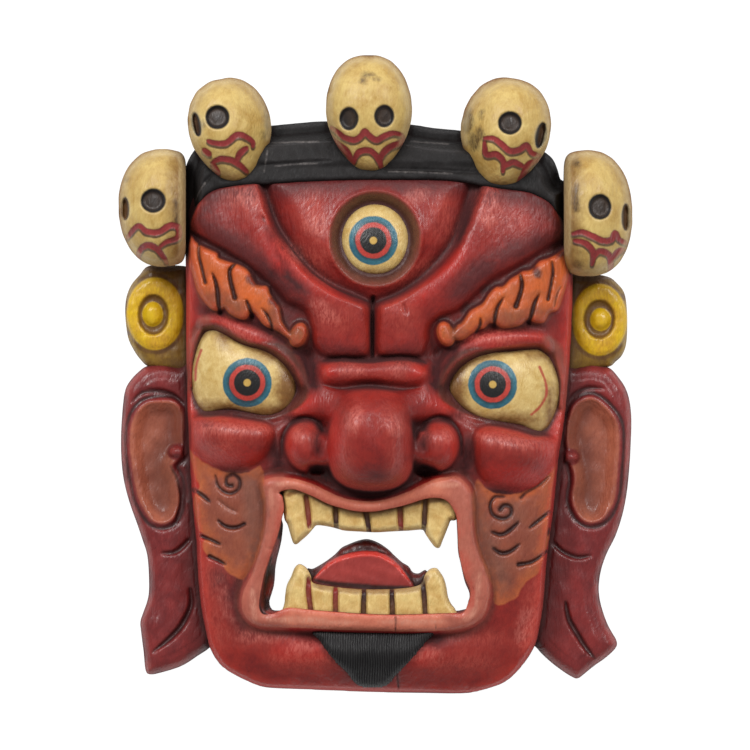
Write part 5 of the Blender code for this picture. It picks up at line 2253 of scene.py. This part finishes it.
@dataclass(frozen=True)
class TeethRow:
    """A row of square teeth between two fangs."""

    name: str
    outline: Points
    red_gaps: tuple[Points, ...]
    dark_gaps: tuple[Points, ...]
    gum: Points
    level: float
    thickness: float = 20.0
    gap_width: float = 1.6

    def carve(self) -> Carving:
        """Carves the row.

        Returns:
            The row's carving, with its painted gaps.
        """
        grid = Grid.round(self.outline, 0.6)
        relief = Relief(grid)
        inside = grid.inside(self.outline)
        relief.base = np.full(grid.x.shape, self.level)
        relief.height = self.level - 6 + dome(inside, 4, 6)
        gaps = {}
        for title, lines in (("gap_red", self.red_gaps), ("gap_dark", self.dark_gaps)):
            gaps[title] = grid.strokes(lines, self.gap_width, (0.8, 0.8))
            relief.height = relief.height - 2.4 * ease(gaps[title], -1.4, 1.0)
        relief.roughen(0.3, 6, 51)
        floor = self.level - self.thickness
        block = Block(grid, floor - 3 * grid.step, self.level + 4)
        block.keep_between(relief.height, np.full(grid.x.shape, floor))
        block.remove(np.broadcast_to(-inside, block.wood.shape))
        gaps["gum"] = grid.stroke(self.gum, 1.6, (0.8, 0.8))
        return Carving(self.name, block, 44_000, gaps)


TEETH = (
    TeethRow(
        "upper_teeth",
        (
            (49, -80), (46, -74), (40, -71), (34, -71), (22, -73), (8, -76.5), (-8, -78), (-20, -76),
            (-30, -72), (-42, -67), (-50, -65.5), (-55, -69), (-55, -75), (-54, -86), (-52, -90), (-50, -97),
            (-48.5, -101), (-46.5, -101.5), (-44, -99.5), (-40, -96), (-36.5, -92), (-34.5, -90.3),
            (-28, -91), (-22, -92.5), (-18, -93.5), (-10, -94), (0, -94.5), (10, -94), (20, -93.5), (28, -93),
            (30, -95.5), (33, -100), (36, -103.5), (38.5, -103.5), (40, -100), (42, -95), (44, -90),
            (45, -87.5), (47, -87.5), (49, -86),
        ),
        (((-41, -73), (-40, -80), (-39, -91)), ((14.5, -75), (15, -84), (15.5, -95))),
        (
            ((-23.5, -78), (-23, -93)), ((-6, -80), (-4.5, -87), (-3.5, -95)),
            ((30, -75), (29.5, -84), (29, -94))
        ),
        ((-52, -72), (-42, -70), (-28, -77), (-8, -82), (8, -80.5), (22, -77), (40, -74.5)),
        68.0,
    ),
    TeethRow(
        "lower_teeth",
        (
            (-56, -145), (-54, -137), (-53.5, -132), (-52.5, -126), (-50, -121), (-48, -116), (-45.5, -113.7),
            (-42.5, -114.5), (-40, -117), (-38, -121), (-37, -124.5), (-28, -126.5), (-15, -128), (0, -128.5),
            (15, -128), (25, -126.5), (28, -124), (30, -119.5), (33, -116.5), (36.5, -116), (38.5, -118),
            (41, -122), (42.5, -127), (43.5, -133), (45.5, -137.5), (48, -141), (47, -147), (0, -148),
            (-50, -146),
        ),
        (((-39.5, -122), (-39.5, -130), (-38, -143)), ((-23.5, -128), (-23.5, -143))),
        (((-6.5, -129), (-7, -145)), ((10, -129), (10.5, -146)), ((28, -122), (29, -130), (30, -144))),
        ((-36, -126), (-28, -128), (-15, -129.3), (0, -129.7), (15, -129.2), (26, -127.5), (31, -121)),
        64.0,
    ),
)


@dataclass(frozen=True)
class Tongue:
    """The tongue, which stands behind the lower teeth."""

    block_outline: Points = (
        (-41, -117.5), (-37, -116.5), (-30, -112.5), (-24, -108), (-20, -104), (-16, -102), (-11, -100),
        (-6, -98.8), (-2, -99.3), (3, -101.5), (8, -105), (11, -108), (16, -112.5), (20, -115),
        (22.5, -118.5), (26, -119.3), (31, -118), (31, -135), (-41, -135),
    )
    front_outline: Points = (
        (-36, -121), (-28, -113.5), (-20, -109.5), (-10, -107), (0, -107), (8, -110), (14, -115), (20, -122),
        (23, -128), (12, -131), (0, -132), (-15, -131), (-30, -129), (-38, -125),
    )
    foot: Points = ((-36, -123), (-26, -125), (-10, -126.5), (4, -127.5), (20, -127.5))
    rim: Points = (
        (-35, -121), (-28, -114), (-20, -110), (-10, -107.6), (0, -107.6), (8, -110.6), (14, -115.6),
        (20, -123)
    )

    def carve(self) -> Carving:
        """Carves the tongue.

        Returns:
            The tongue's carving, with its bright front.
        """
        grid = Grid.round(self.block_outline, 0.6)
        relief = Relief(grid)
        inside, front = grid.inside(self.block_outline), grid.inside(self.front_outline)
        relief.base = np.full(grid.x.shape, 50.0)
        relief.height = 48 + dome(inside, 6, 5)
        relief.pad(front, 5, 2.5, 2, fall=2)
        relief.height = relief.height + 0.1 * (grid.y + 120) * ease(front, -1, 1)
        relief.roughen(0.3, 6, 61)
        block = Block(grid, 38, 66)
        block.keep_between(relief.height, np.full(grid.x.shape, 42.0))
        block.remove(np.broadcast_to(-inside, block.wood.shape))
        areas = {
            "front": front,
            "rim_line": grid.stroke(self.rim, 1.5, (0.3, 0.3)),
            "foot_line": grid.stroke(self.foot, 1.6, (0.6, 0.6)),
        }
        return Carving("tongue", block, 34_000, areas)


@dataclass(frozen=True)
class Beard:
    """The short pointed beard: a raised pad under fine strands."""

    outline: Points = (
        (-37, -153.8), (-20, -153.6), (0, -153.8), (20, -154), (35, -153.5), (30, -160), (25, -166),
        (18, -174), (13, -179), (8, -185), (3, -187), (-7, -186.8), (-12, -184.5), (-16, -179), (-22, -173),
        (-28, -166),
        (-33, -159),
    )
    lift: float = 5.5
    pitch: float = 1.45
    strand: float = 0.62  # half the thickness of a strand

    def carve(self) -> Carving:
        """Carves the pad.

        Returns:
            The pad's carving.
        """
        grid = Grid.round(self.outline, 0.6)
        relief = Relief(grid)
        inside = grid.inside(self.outline)
        chin = bell(grid.x + 2, 62) * (6 * bell(grid.y + 171, 13) - 3 * bell(grid.y + 156, 6))
        height = relief.base + chin + self.lift - 4 + dome(inside, 4, 4)
        block = Block(grid, 24, 76)
        block.keep_between(height, relief.base + chin - 6)
        block.remove(np.broadcast_to(-inside, block.wood.shape))
        return Carving("beard", block, 24_000)

    def comb(self, pad: bpy.types.Object, material: bpy.types.Material) -> None:
        """Lays strands over the pad with Geometry Nodes, and turns the whole into a plain mesh.

        Args:
            pad: the pad's object.
            material: the finish of pad and strands.
        """
        tree = bpy.data.node_groups.new("beard_strands", "GeometryNodeTree")
        face, new = tree.interface, tree.nodes.new
        face.new_socket("Geometry", in_out="INPUT", socket_type="NodeSocketGeometry")
        sizes = {"Pitch": self.pitch * MM, "Strand Radius": self.strand * MM, "Sway": 2.6 * MM}
        for title in sizes:
            face.new_socket(title, in_out="INPUT", socket_type="NodeSocketFloat")
        for title in ("Strands", "Seed"):
            face.new_socket(title, in_out="INPUT", socket_type="NodeSocketInt")
        face.new_socket("Geometry", in_out="OUTPUT", socket_type="NodeSocketGeometry")
        link = tree.links.new
        given, result = new("NodeGroupInput").outputs, new("NodeGroupOutput").inputs

        row = new("GeometryNodeMeshLine")
        link(given["Strands"], row.inputs["Count"])
        row.inputs["Start Location"].default_value = Vector((-38.5, -152, 80)) * MM
        offset = new("ShaderNodeCombineXYZ")
        link(given["Pitch"], offset.inputs["X"])
        link(offset.outputs[0], row.inputs["Offset"])
        hair = new("GeometryNodeCurvePrimitiveLine")
        hair.inputs["End"].default_value = Vector((0, -36, 0)) * MM
        fine = new("GeometryNodeResampleCurve")
        fine.inputs["Count"].default_value = 30
        link(hair.outputs["Curve"], fine.inputs["Curve"])
        spot = new("GeometryNodeInstanceOnPoints")
        link(row.outputs["Mesh"], spot.inputs["Points"])
        link(fine.outputs["Curve"], spot.inputs["Instance"])
        real = new("GeometryNodeRealizeInstances")
        link(spot.outputs["Instances"], real.inputs["Geometry"])

        place = new("GeometryNodeInputPosition")
        sway = new("ShaderNodeTexNoise")
        sway.noise_dimensions = "4D"
        sway.inputs["Scale"].default_value = 90
        link(place.outputs[0], sway.inputs["Vector"])
        link(given["Seed"], sway.inputs["W"])
        centred = new("ShaderNodeMath")
        centred.operation = "SUBTRACT"
        link(sway.outputs["Fac"], centred.inputs[0])
        centred.inputs[1].default_value = 0.5
        aside = new("ShaderNodeMath")
        aside.operation = "MULTIPLY"
        link(centred.outputs[0], aside.inputs[0])
        link(given["Sway"], aside.inputs[1])
        shift = new("ShaderNodeCombineXYZ")
        link(aside.outputs[0], shift.inputs["X"])
        swayed = new("GeometryNodeSetPosition")
        link(real.outputs["Geometry"], swayed.inputs["Geometry"])
        link(shift.outputs[0], swayed.inputs["Offset"])

        down = new("GeometryNodeRaycast")
        link(given["Geometry"], down.inputs["Target Geometry"])
        down.inputs["Ray Direction"].default_value = (0, 0, -1)
        down.inputs["Ray Length"].default_value = 60 * MM
        missed = new("FunctionNodeBooleanMath")
        missed.operation = "NOT"
        link(down.outputs["Is Hit"], missed.inputs[0])
        trimmed = new("GeometryNodeDeleteGeometry")
        link(swayed.outputs["Geometry"], trimmed.inputs["Geometry"])
        link(missed.outputs[0], trimmed.inputs["Selection"])
        laid = new("GeometryNodeSetPosition")
        link(trimmed.outputs["Geometry"], laid.inputs["Geometry"])
        link(down.outputs["Hit Position"], laid.inputs["Position"])

        ring = new("GeometryNodeCurvePrimitiveCircle")
        ring.inputs["Resolution"].default_value = 6
        link(given["Strand Radius"], ring.inputs["Radius"])
        tube = new("GeometryNodeCurveToMesh")
        link(laid.outputs["Geometry"], tube.inputs["Curve"])
        link(ring.outputs["Curve"], tube.inputs["Profile Curve"])
        tube.inputs["Fill Caps"].default_value = True
        both = new("GeometryNodeJoinGeometry")
        link(tube.outputs["Mesh"], both.inputs["Geometry"])
        link(given["Geometry"], both.inputs["Geometry"])
        whole = new("GeometryNodeRealizeInstances")
        link(both.outputs["Geometry"], whole.inputs["Geometry"])
        dressed = new("GeometryNodeSetMaterial")
        dressed.inputs["Material"].default_value = material
        link(whole.outputs["Geometry"], dressed.inputs["Geometry"])
        link(dressed.outputs["Geometry"], result["Geometry"])

        comb = pad.modifiers.new("strands", "NODES")
        comb.node_group = tree
        sizes |= {"Strands": 54, "Seed": 7}
        for item in face.items_tree:
            if item.item_type == "SOCKET" and item.in_out == "INPUT" and item.name in sizes:
                comb[item.identifier] = sizes[item.name]
        settle_modifiers(pad)


# Studio


@dataclass(frozen=True)
class Studio:
    """A pale floor, soft lights round the crown's side and a camera straight above the face."""

    distance: float = 6.0
    view_width: float = 0.4474  # how much of the scene the picture's width shows at the mask's height
    mid_height: float = 0.045
    aim: tuple[float, float] = (0.0, -0.0009)

    def floor(self) -> None:
        """A wide pale floor."""
        half = 8.0
        mesh = bpy.data.meshes.new("floor")
        corners = [(-half, -half, 0), (half, -half, 0), (half, half, 0), (-half, half, 0)]
        mesh.from_pydata(corners, [], [(0, 1, 2, 3)])
        plane = bpy.data.objects.new("floor", mesh)
        bpy.context.scene.collection.objects.link(plane)
        material = bpy.data.materials.new("pale_floor")
        material.use_nodes = True
        shader = material.node_tree.nodes["Principled BSDF"]
        shader.inputs["Base Color"].default_value = (0.1, 0.1, 0.1, 1)
        shader.inputs["Roughness"].default_value = 0.9
        shader.inputs["Emission Color"].default_value = (1, 1, 1, 1)
        shader.inputs["Emission Strength"].default_value = 1.0
        mesh.materials.append(material)

    def lamp(self, name: str, place: tuple[float, float, float], size: float, power: float) -> None:
        """A soft square light that faces the mask.

        Args:
            name: its name.
            place: where it stands, in metres.
            size: its side, in metres.
            power: its power, in watts.
        """
        light = bpy.data.lights.new(name, "AREA")
        light.size = size
        light.energy = power
        stand = bpy.data.objects.new(name, light)
        stand.location = place
        stand.rotation_euler = (-Vector(place)).to_track_quat("-Z", "Y").to_euler()
        stand.visible_camera = False
        bpy.context.scene.collection.objects.link(stand)

    def build(self) -> None:
        """Sets up floor, lights, sky and camera."""
        scene = bpy.context.scene
        self.floor()
        self.lamp("key_left", (-0.8, 0.85, 1.25), 0.4, 13.0)
        self.lamp("key_right", (0.85, 0.75, 1.25), 0.4, 10.5)
        self.lamp("crown_light", (-0.1, 1.25, 1.3), 0.9, 5.5)
        world = bpy.data.worlds.new("soft_room")
        world.use_nodes = True
        world.node_tree.nodes["Background"].inputs["Color"].default_value = (1, 1, 1, 1)
        world.node_tree.nodes["Background"].inputs["Strength"].default_value = 0.34
        scene.world = world
        camera = bpy.data.cameras.new("front_view")
        camera.lens = camera.sensor_width * (self.distance - self.mid_height) / self.view_width
        camera.clip_end = 30
        eye = bpy.data.objects.new("front_view", camera)
        eye.location = (*self.aim, self.distance)
        scene.collection.objects.link(eye)
        scene.camera = eye
        scene.view_settings.view_transform = "Standard"


# The whole mask


class Workshop:
    """Carves every piece, notes how the pieces lie together, then paints and hands them over."""

    def __init__(self) -> None:
        """Starts with empty benches."""
        self.front = FrontMap()
        self.carvings: list[tuple[Carving, PaintedWood]] = []
        self.beard = Beard()

    def carve(self, carving: Carving, finish: PaintedWood) -> None:
        """Takes in a carved piece and the finish it will get."""
        self.front.add(carving.block)
        self.carvings.append((carving, finish))
        LOG.info("carved %s", carving.name)

    def carve_all(self) -> None:
        """Carves the pieces in order, from the face outwards."""
        face = CarvedFace()
        self.carve(face.carve(Jaw()), RED_FACE)
        self.carve(HairBand().carve(face), BLACK_HAIR)
        for skull in SKULLS:
            self.carve(skull.carve(), AGED_SKULL)
        for ear in EARS:
            self.carve(ear.carve(), RED_EAR)
        for stud in EAR_STUDS:
            self.carve(stud.carve(), GOLDEN_STUD)
        for eyeball in EYEBALLS:
            self.carve(eyeball.carve(), PAINTED_EYE)
        for row in TEETH:
            self.carve(row.carve(), AGED_TOOTH)
        self.carve(Tongue().carve(), RED_TONGUE)
        self.carve(self.beard.carve(), BLACK_BEARD)

    def finish_all(self) -> None:
        """Makes, paints and hands over each piece."""
        self.front.blur()
        effects = Effects()
        materials: dict[str, bpy.types.Material] = {}
        for carving, finish in self.carvings:
            shape = carving.shape({coat.area for coat in finish.coats if coat.soft < 1.6})
            self.front.mark(carving, shape)
            if finish.title not in materials:
                materials[finish.title] = finish.material(effects)
            material = materials[finish.title]
            shape.data.materials.append(material)
            if finish is BLACK_BEARD:
                self.beard.comb(shape, material)
            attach(shape, BODY)
            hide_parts(NODE)
            triangles = sum(len(p.vertices) - 2 for p in shape.data.polygons)
            LOG.info("finished %s with %d triangles", shape.name, triangles)


def main() -> None:
    """Builds the mask round its frame, and the studio round the mask."""
    logging.basicConfig(level=logging.INFO, format="%(relativeCreated)6d %(message)s")
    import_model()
    Studio().build()
    workshop = Workshop()
    workshop.carve_all()
    workshop.finish_all()


if __name__ == "__main__":
    main()
